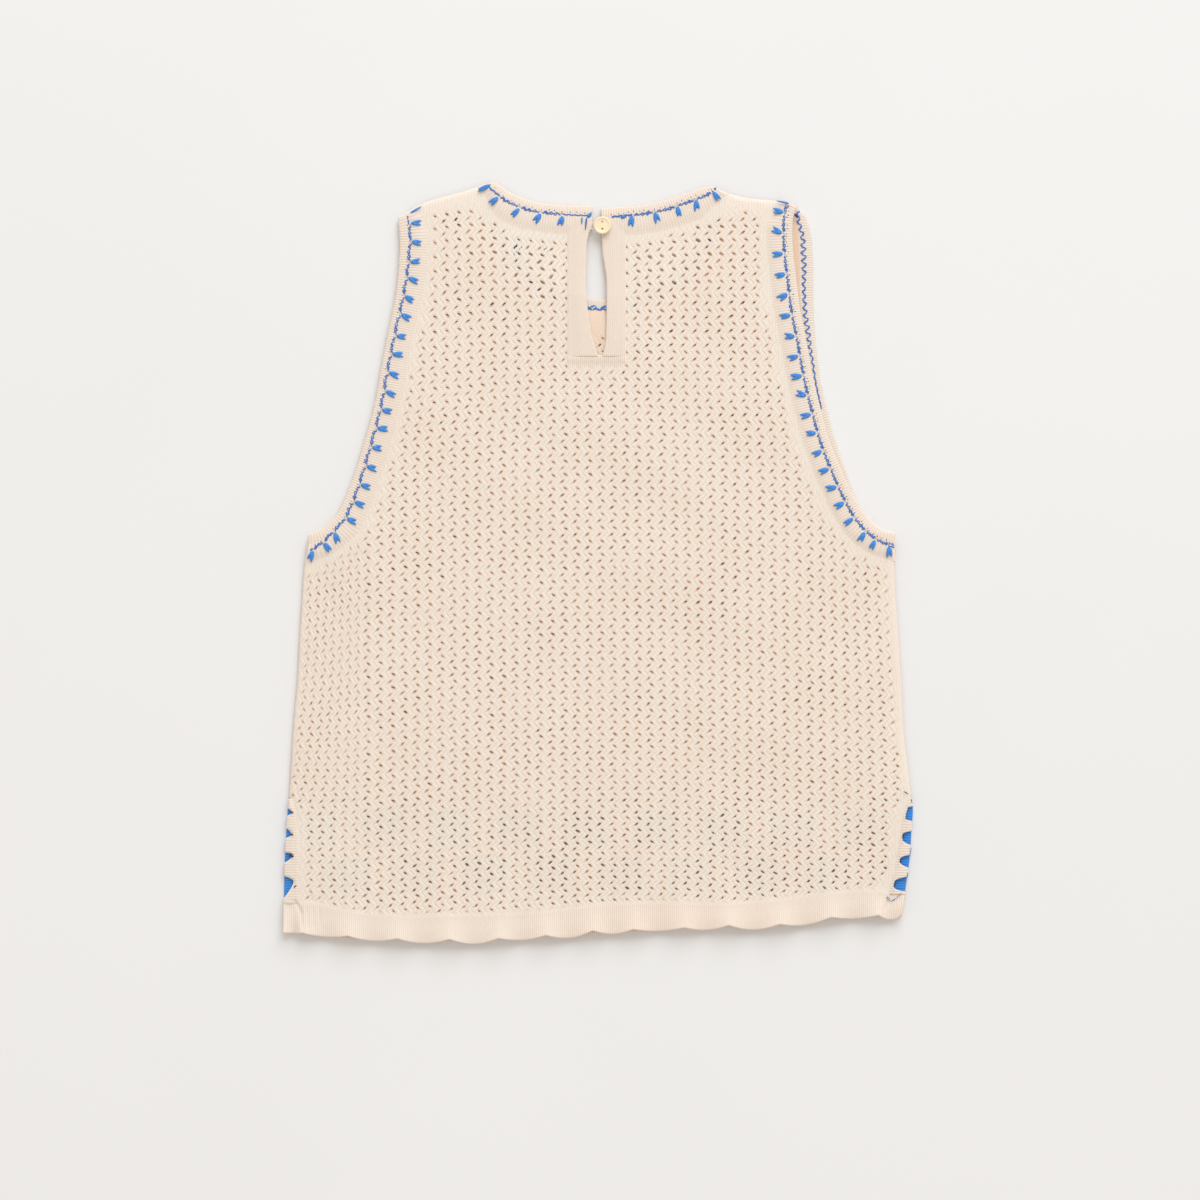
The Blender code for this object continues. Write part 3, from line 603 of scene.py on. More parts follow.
class Graph:
    """A material's nodes, round one Principled shader."""

    def __init__(self, name: str, roughness: float, specular: float = 0.5) -> None:
        """Starts a material.

        Args:
            name: The material's name.
            roughness: The shader's own roughness.
            specular: The shader's own specular level.
        """
        self.material = bpy.data.materials.new(name)
        self.material.use_nodes = True
        self.tree = self.material.node_tree
        self.shader = self.tree.nodes["Principled BSDF"]
        self.shader.inputs["Roughness"].default_value = roughness
        self.shader.inputs["Specular IOR Level"].default_value = specular

    def node(self, kind: str, settings: dict[str, object], inputs: dict[str | int, Input]) -> bpy.types.Node:
        """Adds a node.

        Args:
            kind: The node's type.
            settings: Its properties, which are set first.
            inputs: The values or links of its sockets, by name or place.

        Returns:
            The node.
        """
        made = self.tree.nodes.new(kind)
        for key, value in settings.items():
            setattr(made, key, value)
        for key, value in inputs.items():
            self.feed(made.inputs[key], value)
        return made

    def feed(self, socket: Socket, value: Input) -> None:
        """Links a value to a socket, or sets it there."""
        if isinstance(value, Value):
            self.tree.links.new(value.socket, socket)
        elif isinstance(value, Socket):
            self.tree.links.new(value, socket)
        else:
            socket.default_value = value

    def maths(self, operation: str, *terms: Value | float) -> Value:
        """A Math node on values or numbers."""
        made = self.node("ShaderNodeMath", {"operation": operation}, dict(enumerate(terms)))
        return Value(self, made.outputs[0])

    def mix(self, share: Value, one: Input, other: Input) -> Socket:
        """Two colours mixed by a share, from the first at 0 to the other at 1."""
        made = self.node("ShaderNodeMix", {"data_type": "RGBA"}, {0: share, 6: one, 7: other})
        return made.outputs[2]

    def place(self) -> Socket:
        """The point in the object's own coordinates."""
        return self.node("ShaderNodeTexCoord", {}, {}).outputs["Object"]

    def along(self, vector: Socket) -> tuple[Value, Value, Value]:
        """A vector's three parts."""
        parts = self.node("ShaderNodeSeparateXYZ", {}, {0: vector})
        return tuple(Value(self, output) for output in parts.outputs)

    def weave(self) -> tuple[Value, Value]:
        """The weave coordinates: stitches along and across."""
        uv = self.node("ShaderNodeUVMap", {"uv_map": "weave"}, {})
        return self.along(uv.outputs[0])[:2]

    def relief(self) -> Value:
        """How high the point stands in its knit, from -1 to 1."""
        made = self.node("ShaderNodeAttribute", {"attribute_name": "relief"}, {})
        return Value(self, made.outputs["Fac"])

    def noise(self, scale: float, detail: float = 2.0) -> Value:
        """Noise about 0.5 on the object's own coordinates."""
        made = self.node("ShaderNodeTexNoise", {}, {"Vector": self.place(), "Scale": scale, "Detail": detail})
        return Value(self, made.outputs[0])

    def let_light_through(self, share: float, colour: Colour) -> None:
        """Mixes in some translucency, so that light reaches the layer beneath through the yarn."""
        glow = self.node("ShaderNodeBsdfTranslucent", {}, {"Color": colour}).outputs[0]
        terms = {0: share, 1: self.shader.outputs[0], 2: glow}
        mixed = self.node("ShaderNodeMixShader", {}, terms)
        self.feed(self.tree.nodes["Material Output"].inputs["Surface"], mixed.outputs[0])

    def finish(
        self, colour: Input, height: Value | None = None, depth: float = 0.1 * MM, strength: float = 1.0
    ) -> Material:
        """Feeds the shader's colour, and its normal through a bump.

        Args:
            colour: The base colour.
            height: The bump's height, from 0 to 1.
            depth: How deep the bump is, in metres.
            strength: The bump's strength.

        Returns:
            The material.
        """
        self.feed(self.shader.inputs["Base Color"], colour)
        if height is not None:
            bump = self.node(
                "ShaderNodeBump", {}, {"Height": height, "Distance": depth, "Strength": strength}
            )
            self.feed(self.shader.inputs["Normal"], bump.outputs[0])
        return self.material


@dataclass(frozen=True)
class KnitFinish:
    """Soft cotton knit: stitches in columns, with painted shade in its grooves and painted light on its ribs,
    with a little mottling.
    """

    name: str
    # pale is the yarn's colour; deep is the painted shade mixed in at grooves, hole rims and between
    # stitches.
    pale: Colour = (0.95, 0.905, 0.83, 1.0)
    deep: Colour = (0.74, 0.48, 0.34, 1.0)
    roughness: float = 0.92
    stitch_depth: float = 0.16 * MM
    groove_shade: float = 0.55
    light_through: float = 0.22
    glow: Colour = (0.97, 0.70, 0.50, 1.0)

    def stitches(self, graph: Graph) -> Value:
        """The height of knit stitches: each column is round, and its legs slant to its middle as a V."""
        along, across = graph.weave()
        off = graph.maths("ABSOLUTE", graph.maths("FRACT", along) - 0.5) * 2.0
        column = 1.0 - off * off
        phase = (across + off * 0.55) * TURN
        leg = graph.maths("COSINE", phase) * 0.5 + 0.5
        return column * (leg * 0.45 + 0.55)

    def colour(self, graph: Graph, stitches: Value) -> Socket:
        """Pale yarn with painted shade where the knit is low and painted light where it is high, and slightly
        uneven.
        """
        # lit is painted light from the relief and the stitches, with random fibre tone; shade mixes in deep
        # as painted shade.
        lit = graph.relief() * 0.55 + stitches * 0.25 + graph.noise(1300.0, 3.0) * 0.6 + 0.28
        shade = ((1.0 - lit) * self.groove_shade).clipped()
        patchy = (graph.noise(22.0, 2.0) - 0.5) * 0.14
        return graph.mix((shade + patchy).clipped(), self.pale, self.deep)

    def material(self) -> Material:
        """Builds the material."""
        graph = Graph(self.name, self.roughness, 0.25)
        graph.shader.inputs["Sheen Weight"].default_value = 0.12
        graph.shader.inputs["Sheen Roughness"].default_value = 0.5
        stitches = self.stitches(graph)
        height = stitches * 0.7 + graph.noise(1500.0, 3.0) * 0.3
        graph.let_light_through(self.light_through, self.glow)
        return graph.finish(self.colour(graph, stitches), height, self.stitch_depth)


@dataclass(frozen=True)
class BorderedKnitFinish(KnitFinish):
    """The front's knit: a border of plain dark blocks above its hem, and painted shade where the back covers
    it.
    """

    dark: Colour = (0.34, 0.27, 0.26, 1.0)
    # The border, from its lower edge to its upper one, and the share of a pitch that is dark.
    border: Pair = (-197.0 * MM, -141.0 * MM)
    block_pitch: float = 41.0 * MM
    block_share: float = 0.66
    row_pitch: float = 27.0 * MM
    row_share: float = 0.8
    # How much painted shade darkens the yarn where the back covers it, and the open slit's half width and
    # foot.
    painted_shade_under_back: float = 0.35
    slit: Pair = (12.0 * MM, 110.0 * MM)

    def colour(self, graph: Graph, stitches: Value) -> Socket:
        """The knit's colour with painted shade where the back covers it, away from the open slit, and dark
        blocks in rows half a block apart.
        """
        x, y, _ = graph.along(graph.place())
        open_above = (x > -self.slit[0]) * (x < self.slit[0]) * (y > self.slit[1])
        # Outside the open slit the yarn is mixed towards deep as painted shade under the back.
        plain = graph.mix((1.0 - open_above) * self.painted_shade_under_back, super().colour(graph, stitches), self.deep)
        inside = (y > self.border[0]) * (y < self.border[1])
        rows = (y - self.border[0]) * (1.0 / self.row_pitch)
        shifted = x * (1.0 / self.block_pitch) + graph.maths("FLOOR", rows) * 0.5
        in_block = graph.maths("FRACT", shifted) < self.block_share
        in_row = graph.maths("FRACT", rows) < self.row_share
        return graph.mix(inside * (in_block * in_row), plain, self.dark)


@dataclass(frozen=True)
class YarnFinish:
    """Twisted yarn: slanting strands along its weave coordinates, with painted shade between them and uneven
    lint.
    """

    name: str
    bright: Colour
    # bright is the yarn's colour; dark is the painted shade between strands, also mixed in by random lint.
    dark: Colour
    roughness: float = 0.75
    depth: float = 0.12 * MM

    def material(self) -> Material:
        """Builds the material."""
        graph = Graph(self.name, self.roughness, 0.3)
        graph.shader.inputs["Sheen Weight"].default_value = 0.1
        along, around = graph.weave()
        strand = graph.maths("SINE", (along + around * 2.0) * TURN) * 0.5 + 0.5
        lint = graph.noise(1600.0, 3.0)
        shade = ((1.0 - strand) * 0.45 + (0.62 - lint) * 0.9).clipped()
        return graph.finish(graph.mix(shade, self.bright, self.dark), strand * 0.7 + lint * 0.3, self.depth)


@dataclass(frozen=True)
class ButtonFinish:
    """Polished cream resin with a faint cloudy grain."""

    name: str = "button_resin"
    light: Colour = (0.88, 0.76, 0.54, 1.0)
    cloudy: Colour = (0.80, 0.66, 0.43, 1.0)

    def material(self) -> Material:
        """Builds the material."""
        graph = Graph(self.name, 0.42)
        cloud = graph.noise(320.0, 4.0)
        grain = graph.noise(2600.0, 2.0)
        shade = ((cloud - 0.35) * 1.6).clipped()
        return graph.finish(graph.mix(shade, self.light, self.cloudy), grain, 0.03 * MM, 0.4)


@dataclass(frozen=True)
class FloorFinish:
    """A pale, matt studio surface with very faint mottling."""

    name: str = "studio_floor"
    pale: Colour = (0.785, 0.797, 0.813, 1.0)
    grey: Colour = (0.75, 0.762, 0.777, 1.0)

    def material(self) -> Material:
        """Builds the material."""
        graph = Graph(self.name, 0.9, 0.1)
        return graph.finish(graph.mix((graph.noise(3.0, 3.0) - 0.4).clipped(), self.pale, self.grey))


class Run(Enum):
    """The runs of a panel's outline, anticlockwise."""

    HEM = "hem"
    VENT_RIGHT = "right vent"
    SIDE_RIGHT = "right side seam"
    ARMHOLE_RIGHT = "right armhole"
    SHOULDER_RIGHT = "right shoulder"
    NECK = "neck"
    FACING = "facings of the slit"
    NECK_LEFT = "neck left of the slit"
    SHOULDER_LEFT = "left shoulder"
    ARMHOLE_LEFT = "left armhole"
    SIDE_LEFT = "left side seam"
    VENT_LEFT = "left vent"


SEAMS = (Run.SIDE_RIGHT, Run.SHOULDER_RIGHT, Run.SHOULDER_LEFT, Run.SIDE_LEFT)


class Outline:
    """A closed outline made of named runs, anticlockwise."""

    def __init__(self, runs: dict[Run, Array]) -> None:
        """Joins the runs, in the order that their kinds are listed in.

        Args:
            runs: The points of each run, anticlockwise.
        """
        self.kinds = [kind for kind in Run if kind in runs]
        lines = [runs[kind] for kind in self.kinds]
        closed = [np.concatenate([line, lines[(k + 1) % len(lines)][:1]]) for k, line in enumerate(lines)]
        self.starts = np.concatenate([line[:-1] for line in closed])
        self.ends = np.concatenate([line[1:] for line in closed])
        self.first = np.cumsum([0] + [len(line) - 1 for line in closed[:-1]])

    def measure(self, places: Array) -> tuple[Array, Array, Array]:
        """Measures places against the outline.

        Each segment's nearest point is its start plus the clipped share of its length that the place
        projects to, and a place is inside where a ray to the left crosses an odd number of segments.

        Args:
            places: The places, n by 2.

        Returns:
            Whether each place is inside, the nearest point of the outline, and the distance to each run.
        """
        inside, nearest, distance = [], [], []
        length = self.ends - self.starts
        squared = np.maximum((length**2).sum(axis=1), 1e-18)
        for chunk in np.array_split(places, max(1, len(places) // 4000)):
            off = chunk[:, None] - self.starts[None]
            share = np.clip((off * length).sum(axis=2) / squared, 0.0, 1.0)
            away = off - share[..., None] * length
            apart = (away**2).sum(axis=2)
            best = apart.argmin(axis=1)
            nearest.append(chunk - away[np.arange(len(chunk)), best])
            distance.append(np.sqrt(np.minimum.reduceat(apart, self.first, axis=1)))
            y = chunk[:, 1:2]
            spans = (self.starts[None, :, 1] > y) != (self.ends[None, :, 1] > y)
            rise = np.where(np.abs(length[:, 1]) < 1e-12, 1e-12, length[:, 1])
            crossing = self.starts[:, 0] + (y - self.starts[:, 1]) * length[:, 0] / rise
            inside.append((spans & (crossing > chunk[:, :1])).sum(axis=1) % 2 == 1)
        return np.concatenate(inside), np.concatenate(nearest), np.concatenate(distance)

    def to_runs(self, distance: Array, kinds: tuple[Run, ...]) -> Array:
        """The distance to the nearest of some runs."""
        chosen = [k for k, kind in enumerate(self.kinds) if kind in kinds]
        return distance[:, chosen].min(axis=1)


# Close places across and up the knit at which its tables are summed, in millimetres.
KNIT_X = np.arange(-230.0, 230.5, 0.5)
KNIT_Y = np.arange(-250.0, 260.5, 0.5)


@dataclass(frozen=True)
class OpenKnit:
    """The open knit: slanting bars that change direction every half course, with a hole in every other gap.

    The knit is a lattice of cells, eight to a hole's pitch both ways. In the lower half of a course the
    columns of cells lean to the right and in the upper half to the left. Bars are a cosine of the column
    that fades to nothing where two half courses meet. A hole is four cells taken out, with its rim moved
    onto an ellipse that leans with the bars.
    """

    cells: int = 8
    bar_height: float = 0.22 * MM
    # How far the bars lighten and darken the knit's colour, as painted light and shade.
    bar_relief: float = 0.4
    rim_drop: float = 0.2 * MM
    # Holes that lean right, and those that lean left: half length, half width, lean in degrees.
    right_hole: Row = (1.2, 0.47, 47.0)
    left_hole: Row = (1.12, 0.5, 31.0)
    zigzag: float = 0.54
    snap: float = 2.3 * MM
    seam_height: float = 1.95 * MM
    seam_roll: float = 3.0 * MM
    swell_reach: float = 7.0 * MM
    seed: int = 11
    # How far the lattice reaches: lowest, highest.
    reach_x: Pair = (-217.0 * MM, 197.0 * MM)
    reach_y: Pair = (-222.0 * MM, 250.0 * MM)
    # How far points waver, and over which way the knit opens at the plain margins.
    waver: float = 0.4 * MM
    opening: float = 2.0 * MM

    # Pitch of the holes along a course.
    pitch: float = 7.37 * MM
    # The share of its pitch that the knit keeps left of the side's fold: y, share.
    left_fold: float = -141.0 * MM
    left_squeeze: Table = ((-240, 0.93), (-150, 0.92), (-122, 0.80), (-60, 0.68), (0, 0.64), (260, 0.64))
    yoke_squeeze: float = 0.03
    # The share of its pitch that the knit loses at the right side, growing from the fold: y, share.
    right_fold: float = 115.0 * MM
    right_reach: float = 63.0 * MM
    right_lost: Table = (
        (-240, 0), (-140, 0), (-106, 0.025), (-76, 0.065), (-46, 0.13), (-16, 0.16),
        (14, 0.19), (44, 0.27), (260, 0.27),
    )
    # Height of a full course right of the slit: y, height.
    course_pitch: Table = (
        (-240, 6.9), (-196, 6.95), (-166, 7), (-136, 7.1), (-106, 7.25), (-76, 7.55),
        (-46, 7.85), (-16, 7.85), (14, 7.9), (44, 8.05), (74, 8.15), (104, 8.15), (134, 8.05),
        (164, 8), (194, 7.8), (260, 7.8),
    )
    # Slope of the courses in degrees: for each y, its slope at every x of the first row.
    slope_x: Row = (-173.0, -134.0, -95.0, -56.0, -17.0, 22.0, 61.0, 100.0, 139.0, 178.0)
    course_slope: Table = (
        (-196, -1.5, 6, 8.5, 6.5, 4, 0, -3.5, -5.5, -2, -3),
        (-106, 0, 7.5, 7, 4.5, 2.5, -1, -3, -5.5, -5.5, -5),
        (-16, 7.5, 5.5, 5.5, 4, 2, -0.5, -3, -4, -5, -7.5),
        (74, 8, 8, 5, 5, 2.5, -1.5, -2, 0, -1, -1),
        (134, 5, 5, 5, 3, 1, 0.5, 0, 0, 0, 0),
        (164, 7, 7, 7, 0, -5, 4.5, 1, 0, 0, 0),
        (194, 8.5, 8.5, 8.5, -4, -8, 7, 2, 1, 1, 1),
    )
    level_x: float = 22.0
    first_hole: Pair = (-14.1 * MM, 64.9 * MM)
    yoke_from: float = 68.0 * MM
    yoke_to: float = 106.0 * MM

    def drop(self, x: Array, y: Array) -> Array:
        """How far a course lies below its place right of the slit: its slope summed along it."""
        table = np.array(self.course_slope)
        step = KNIT_X[1] - KNIT_X[0]
        falls = []
        for row in table:
            slope = np.tan(np.radians(np.interp(KNIT_X, self.slope_x, row[1:])))
            summed = np.cumsum(slope) * step
            falls.append(np.interp(self.level_x, KNIT_X, summed) - summed)
        level = np.interp(y / MM, table[:, 0], np.arange(len(table)))
        return read_grid(np.array(falls) * MM, level, (x / MM - KNIT_X[0]) / step)

    def kept(self, x: Array, y: Array) -> Array:
        """The share of its pitch that the knit keeps at a place."""
        past = np.maximum(x - self.right_fold, 0.0) / self.right_reach
        right = 1.0 - read_table(self.right_lost, y) / MM * past
        return np.where(x < self.left_fold, read_table(self.left_squeeze, y) / MM, right)

    def gathered(self, x: Array, y: Array) -> Array:
        """The x of wales once both sides are gathered, and the yoke very slightly towards its middle."""
        past = np.minimum(x - self.left_fold, 0.0)
        x = x - past * (1.0 - read_table(self.left_squeeze, y) / MM)
        past = np.maximum(x - self.right_fold, 0.0)
        x = x - read_table(self.right_lost, y) / MM * past**2 / (2 * self.right_reach)
        return x * (1.0 - self.yoke_squeeze * eased((y - self.yoke_from) / (self.yoke_to - self.yoke_from)))

    @staticmethod
    def counted(rows: Table, fine: Array) -> Array:
        """How many pitches lie before each place: one over the pitch, summed."""
        table = np.array(rows) * MM
        middle = (fine[1:] + fine[:-1]) / 2
        return np.concatenate([[0.0], np.cumsum(np.diff(fine) / np.interp(middle, table[:, 0], table[:, 1]))])

    def open_share(self, distance: Array, kinds: list[Run], margins: dict[Run, float]) -> Array:
        """How open the knit is: 1 from the plain margins' inner edges on, and 0 a little way before them."""
        past = [(distance[:, k] - margins[kind]) / self.opening for k, kind in enumerate(kinds)]
        return eased(np.min(past, axis=0) + 1.0)

    def holes(
        self, column: Array, row: Array, x: Array, y: Array, outline: Outline, margins: dict[Run, float]
    ) -> tuple[Array, Array, Array]:
        """Finds where holes go: in every other gap between bars, and clear of the plain margins.

        Args:
            column: The lattice's column at each point.
            row: The lattice's row at each point.
            x: The points' places.
            y: The points' places.
            outline: The panel's outline.
            margins: How wide the plain knit is along each run.

        Returns:
            The rows and columns of the holes' middles, and how far each lies past the margins.
        """
        half = self.cells // 2
        phase = row % self.cells
        centres = ((column % self.cells == 0) & (phase == half // 2)) | (
            (column % self.cells == half // 2) & (phase == half + half // 2)
        )
        centres[[0, -1]] = False
        centres[:, [0, -1]] = False
        i, j = np.nonzero(centres)
        inside, _, distance = outline.measure(abreast(x[i, j], y[i, j]))
        room = np.min([distance[:, k] - margins[kind] for k, kind in enumerate(outline.kinds)], axis=0)
        keep = inside & (room > 0.0)
        return i[keep], j[keep], room[keep]

    def hole_sizes(self, x: Array, y: Array, room: Array, leaning: Array) -> tuple[Array, ...]:
        """The holes' sizes: smaller near the margins and past the left fold, larger in the yoke, and uneven.

        Args:
            x: The holes' middles.
            y: The holes' middles.
            room: How far each hole lies past the plain margins.
            leaning: Which of them lean to the right.

        Returns:
            Columns of half lengths, half widths, leans in radians, and factors of size.
        """
        rng = np.random.default_rng(self.seed)
        kept = self.kept(x, y)
        size = rng.uniform(0.78, 1.18, len(x)) * (0.72 + 0.28 * eased(room / (9.0 * MM)))
        size *= np.where(x < self.left_fold, 0.85, 1.0)
        size *= 1.0 + 0.15 * slow_waves(x, y, 5, 60 * MM)
        size *= 1.0 + 0.16 * eased((y - 110 * MM) / (60 * MM))
        favour = 0.3 * slow_waves(x, y, 8, 90 * MM)
        slim = rng.uniform(0.82, 1.2, len(x)) * np.where(leaning, 1.0 + favour, 1.12 - favour) * kept
        long, wide, lean = np.where(leaning[:, None], self.right_hole, self.left_hole).T
        lean = np.arctan(np.tan(np.radians(lean)) / kept) * np.where(leaning, 1.0, -1.0)
        lean = lean + np.radians(rng.normal(0, 6, len(x)))
        return tuple(column[:, None] for column in (long * MM, wide * slim * MM, lean, size))

    def sheet(
        self, outline: Outline, margins: dict[Run, float], lie: Height, level: float, swell: Height
    ) -> tuple[Shape, Array]:
        """A panel of open knit.

        Args:
            outline: The panel's outline.
            margins: How wide the plain knit is along each run.
            lie: The height of the panel's underside.
            level: How far above it the knit's middle lies.
            swell: How much higher that is away from the outline.

        Returns:
            The panel, and the course of each of its faces.
        """
        x_fine, y_fine = KNIT_X * MM, KNIT_Y * MM
        wales, courses = x_fine / self.pitch, self.counted(self.course_pitch, y_fine)
        first_x, first_y = self.first_hole
        wales -= np.interp(first_x, x_fine, wales)
        first_y += float(self.drop(np.array([first_x]), np.array([first_y]))[0])
        courses -= np.interp(first_y, y_fine, courses) - 0.25
        low_x, high_x = np.interp(self.reach_x, x_fine, wales)
        low_y, high_y = np.interp(self.reach_y, y_fine, courses)
        a = np.arange(math.floor(low_x) * self.cells, math.ceil(high_x) * self.cells + 1)
        b = np.arange(math.floor(low_y) * self.cells, math.ceil(high_y) * self.cells + 1)
        column, row = np.meshgrid(a, b)
        u, v = column / self.cells, row / self.cells
        half = self.cells // 2

        base_x = np.interp(u, wales, x_fine)
        base_y = np.interp(v, courses, y_fine)
        base_y = base_y - self.drop(base_x, base_y)
        few = abreast(self.gathered(base_x, base_y), base_y)[::half, ::half]
        _, _, distance = outline.measure(few.reshape(-1, 2))
        open_share = spread(self.open_share(distance, outline.kinds, margins).reshape(few.shape[:2]), half)

        phase = row % self.cells
        swing = np.where(phase <= half, phase - half / 2, 1.5 * half - phase) / half
        swing = swing * (1.0 - 0.25 * np.abs(2 * swing) ** 3)
        x = self.gathered(np.interp(u + self.zigzag * swing * open_share, wales, x_fine), base_y)
        x = x + self.waver * slow_waves(base_x, base_y, 3, 26 * MM)
        y = base_y + self.waver * slow_waves(base_x, base_y, 4, 20 * MM)

        envelope = np.array([0.0, 0.8, 1.0, 0.8])[row % half]
        bars = np.cos(math.pi * column / 2) * envelope * np.where(phase < half, -1.0, 1.0) * open_share
        bars *= 1.0 + 0.5 * slow_waves(x, y, 7, 9 * MM)
        relief = self.bar_relief * bars
        lowered = np.zeros_like(relief)
        i, j, room = self.holes(column, row, x, y, outline, margins)
        at_x, at_y = x[i, j][:, None], y[i, j][:, None]
        long, wide, lean, size = self.hole_sizes(x[i, j], y[i, j], room, phase[i, j] == half // 2)
        ring = np.array([(-1, -1), (-1, 0), (-1, 1), (0, 1), (1, 1), (1, 0), (1, -1), (0, -1)])
        ri, rj = i[:, None] + ring[:, 0], j[:, None] + ring[:, 1]
        turn = np.arctan2(y[ri, rj] - at_y, x[ri, rj] - at_x)
        reach = long * wide / np.hypot(wide * np.cos(turn - lean), long * np.sin(turn - lean)) * size
        x[ri, rj] = at_x + reach * np.cos(turn)
        y[ri, rj] = at_y + reach * np.sin(turn)
        lowered[ri, rj] = self.rim_drop
        bars[ri, rj] = 0.0
        # The rims take the deepest painted shade.
        relief[ri, rj] = -1.0

        places = abreast(x, y).reshape(-1, 2)
        inside, nearest, distance = outline.measure(places)
        apart = distance.min(axis=1)
        outside = ~inside
        places = np.where((outside & (apart < self.snap))[:, None], nearest, places)
        signed = np.where(outside, -apart, apart)
        to_seam = outline.to_runs(distance, SEAMS)
        to_seam = np.where(outside & (to_seam < self.snap), 0.0, to_seam)
        z = lie(places[:, 0], places[:, 1]) + level
        z += swell(*places.T) * (1.0 - np.exp(-np.clip(signed, 0.0, None) / self.swell_reach))
        z += (self.bar_height * bars - lowered + 0.05 * MM * slow_waves(x, y, 6, 5 * MM)).ravel()
        z = self.seam_height + (z - self.seam_height) * quarter_circle(to_seam / self.seam_roll)

        points = lifted(places, z).reshape(*u.shape, 3)
        weave = abreast(column / 2.0, row * 1.0)
        whole = Shape.from_grid(points, weave, relief)
        gone = np.zeros((len(b) - 1, len(a) - 1), bool)
        for di, dj in ((-1, -1), (-1, 0), (0, -1), (0, 0)):
            gone[i + di, j + dj] = True
        corners = signed[whole.faces]
        keep = ~gone.ravel() & (corners.min(axis=1) > -self.snap) & (corners.max(axis=1) > 0.0)
        courses_up = (row[:-1, :-1] // self.cells).ravel()
        return whole.with_faces(keep), courses_up[keep]


class Ribs(Enum):
    """Which way a strip's ribs run."""

    ACROSS = "across the strip"
    ALONG = "along the strip"


@dataclass
class FoldedStrip:
    """A knitted strip folded double over its outer edge, with a facing that laps onto the panel.

    Its section starts at the facing's inner edge, comes over the top, turns round the outer edge as a
    half circle and goes back beneath. Ribs are a cosine along the outward normal, and both ends are
    rounded: near an end the section's height shrinks as a quarter circle.
    """

    line: Sections
    lie: Height
    wall: float = 1.8 * MM
    lap: float = 2.5 * MM
    lap_ends: Pair = (1.0, 1.0)
    lap_fade: float = 14 * MM
    lap_rise: float = 5.0 * MM
    lap_edge: float = 0.47
    ribs: Ribs = Ribs.ACROSS
    rib_pitch: float = TAPE_RIB
    rib_height: float = 0.085 * MM
    course: float = 0.95 * MM
    crown: float = 0.12 * MM
    seam_groove: float = 0.0
    sink: float = 0.0
    top_steps: int = 5
    lift: float = 0.03 * MM

    def laps(self) -> Array:
        """How far the facing laps at each section: a share of it at an end, growing over a fade's length."""
        run = self.line.run
        far = run / self.lap_fade, (run[-1] - run) / self.lap_fade
        start, end = (share + (1.0 - share) * eased(way) for share, way in zip(self.lap_ends, far))
        return (self.lap * start * end)[:, None]

    def section(self) -> tuple[Array, Array]:
        """The section's way in from the outer edge and its height, sections by points."""
        width = self.line.width[:, None]
        radius = np.minimum(self.wall / 2, 0.8 * width)
        shares = np.array([1.0, 0.9, 0.75, 0.6, 0.42, 0.22, 0.06])
        lap = self.laps()
        risen = eased((1.0 - shares) * lap / np.minimum(self.lap_rise, lap))
        edge = self.lap_edge * self.wall
        k = even(self.top_steps)[::-1]
        top = self.wall + self.crown * np.sin(math.pi * k) - self.seam_groove * (k > 0.99)
        turn = math.pi * even(6)[1:]
        under = np.array([0.5, 1.0])
        parts = (
            (width + lap * shares, edge + (self.wall - self.sink - edge) * risen),
            (radius + (width - radius) * k, top - self.sink * eased((k - 0.3) / 0.7)),
            (radius * (1.0 - np.sin(turn)), self.wall / 2 * (1.0 + np.cos(turn))),
            (radius + (width - radius) * under, 0.0 * under),
        )
        across, height = zip(*(np.broadcast_arrays(*part) for part in parts))
        return np.concatenate(across, axis=1), np.concatenate(height, axis=1)

    def shape(self) -> Shape:
        """The strip's surface."""
        across, height = self.section()
        slope_s, slope_h = np.gradient(across, axis=1), np.gradient(height, axis=1)
        steep = np.maximum(np.hypot(slope_s, slope_h), 1e-9)
        run = np.broadcast_to(self.line.run[:, None], across.shape)
        counted = run if self.ribs is Ribs.ACROSS else self.line.width[:, None] - across
        rib = np.cos(TURN * (counted / self.rib_pitch - 0.5))
        past = eased((across - self.line.width[:, None]) / self.laps())
        rib = rib * np.where(height < 0.1 * self.wall, 0.2, 1.0 - 0.8 * past)
        across = across + self.rib_height * rib * slope_h / steep
        height = height - self.rib_height * rib * slope_s / steep
        from_end = np.minimum(run - run[0], run[-1] - run)
        height = self.wall / 2 + (height - self.wall / 2) * quarter_circle(from_end / (self.wall / 2))
        places = self.line.outer[:, None] + across[..., None] * self.line.across[:, None]
        z = self.lie(places[..., 0], places[..., 1]) + np.maximum(height, 0.0) + self.lift
        courses = (across if self.ribs is Ribs.ACROSS else run) / self.course
        weave = abreast(counted / self.rib_pitch, courses)
        middle = len(run) // 2
        ahead = self.line.outer[middle + 1] - self.line.outer[middle]
        inwards = self.line.across[middle]
        turned_left = ahead[0] * inwards[1] - ahead[1] * inwards[0] > 0
        # The ribs' relief is painted by the knit's finish as shade between ribs and light on them.
        return Shape.from_grid(lifted(places, z), weave, rib * 0.5, flipped=not turned_left)


# How many sides a yarn's tube has; even.
YARN_SIDES = 6


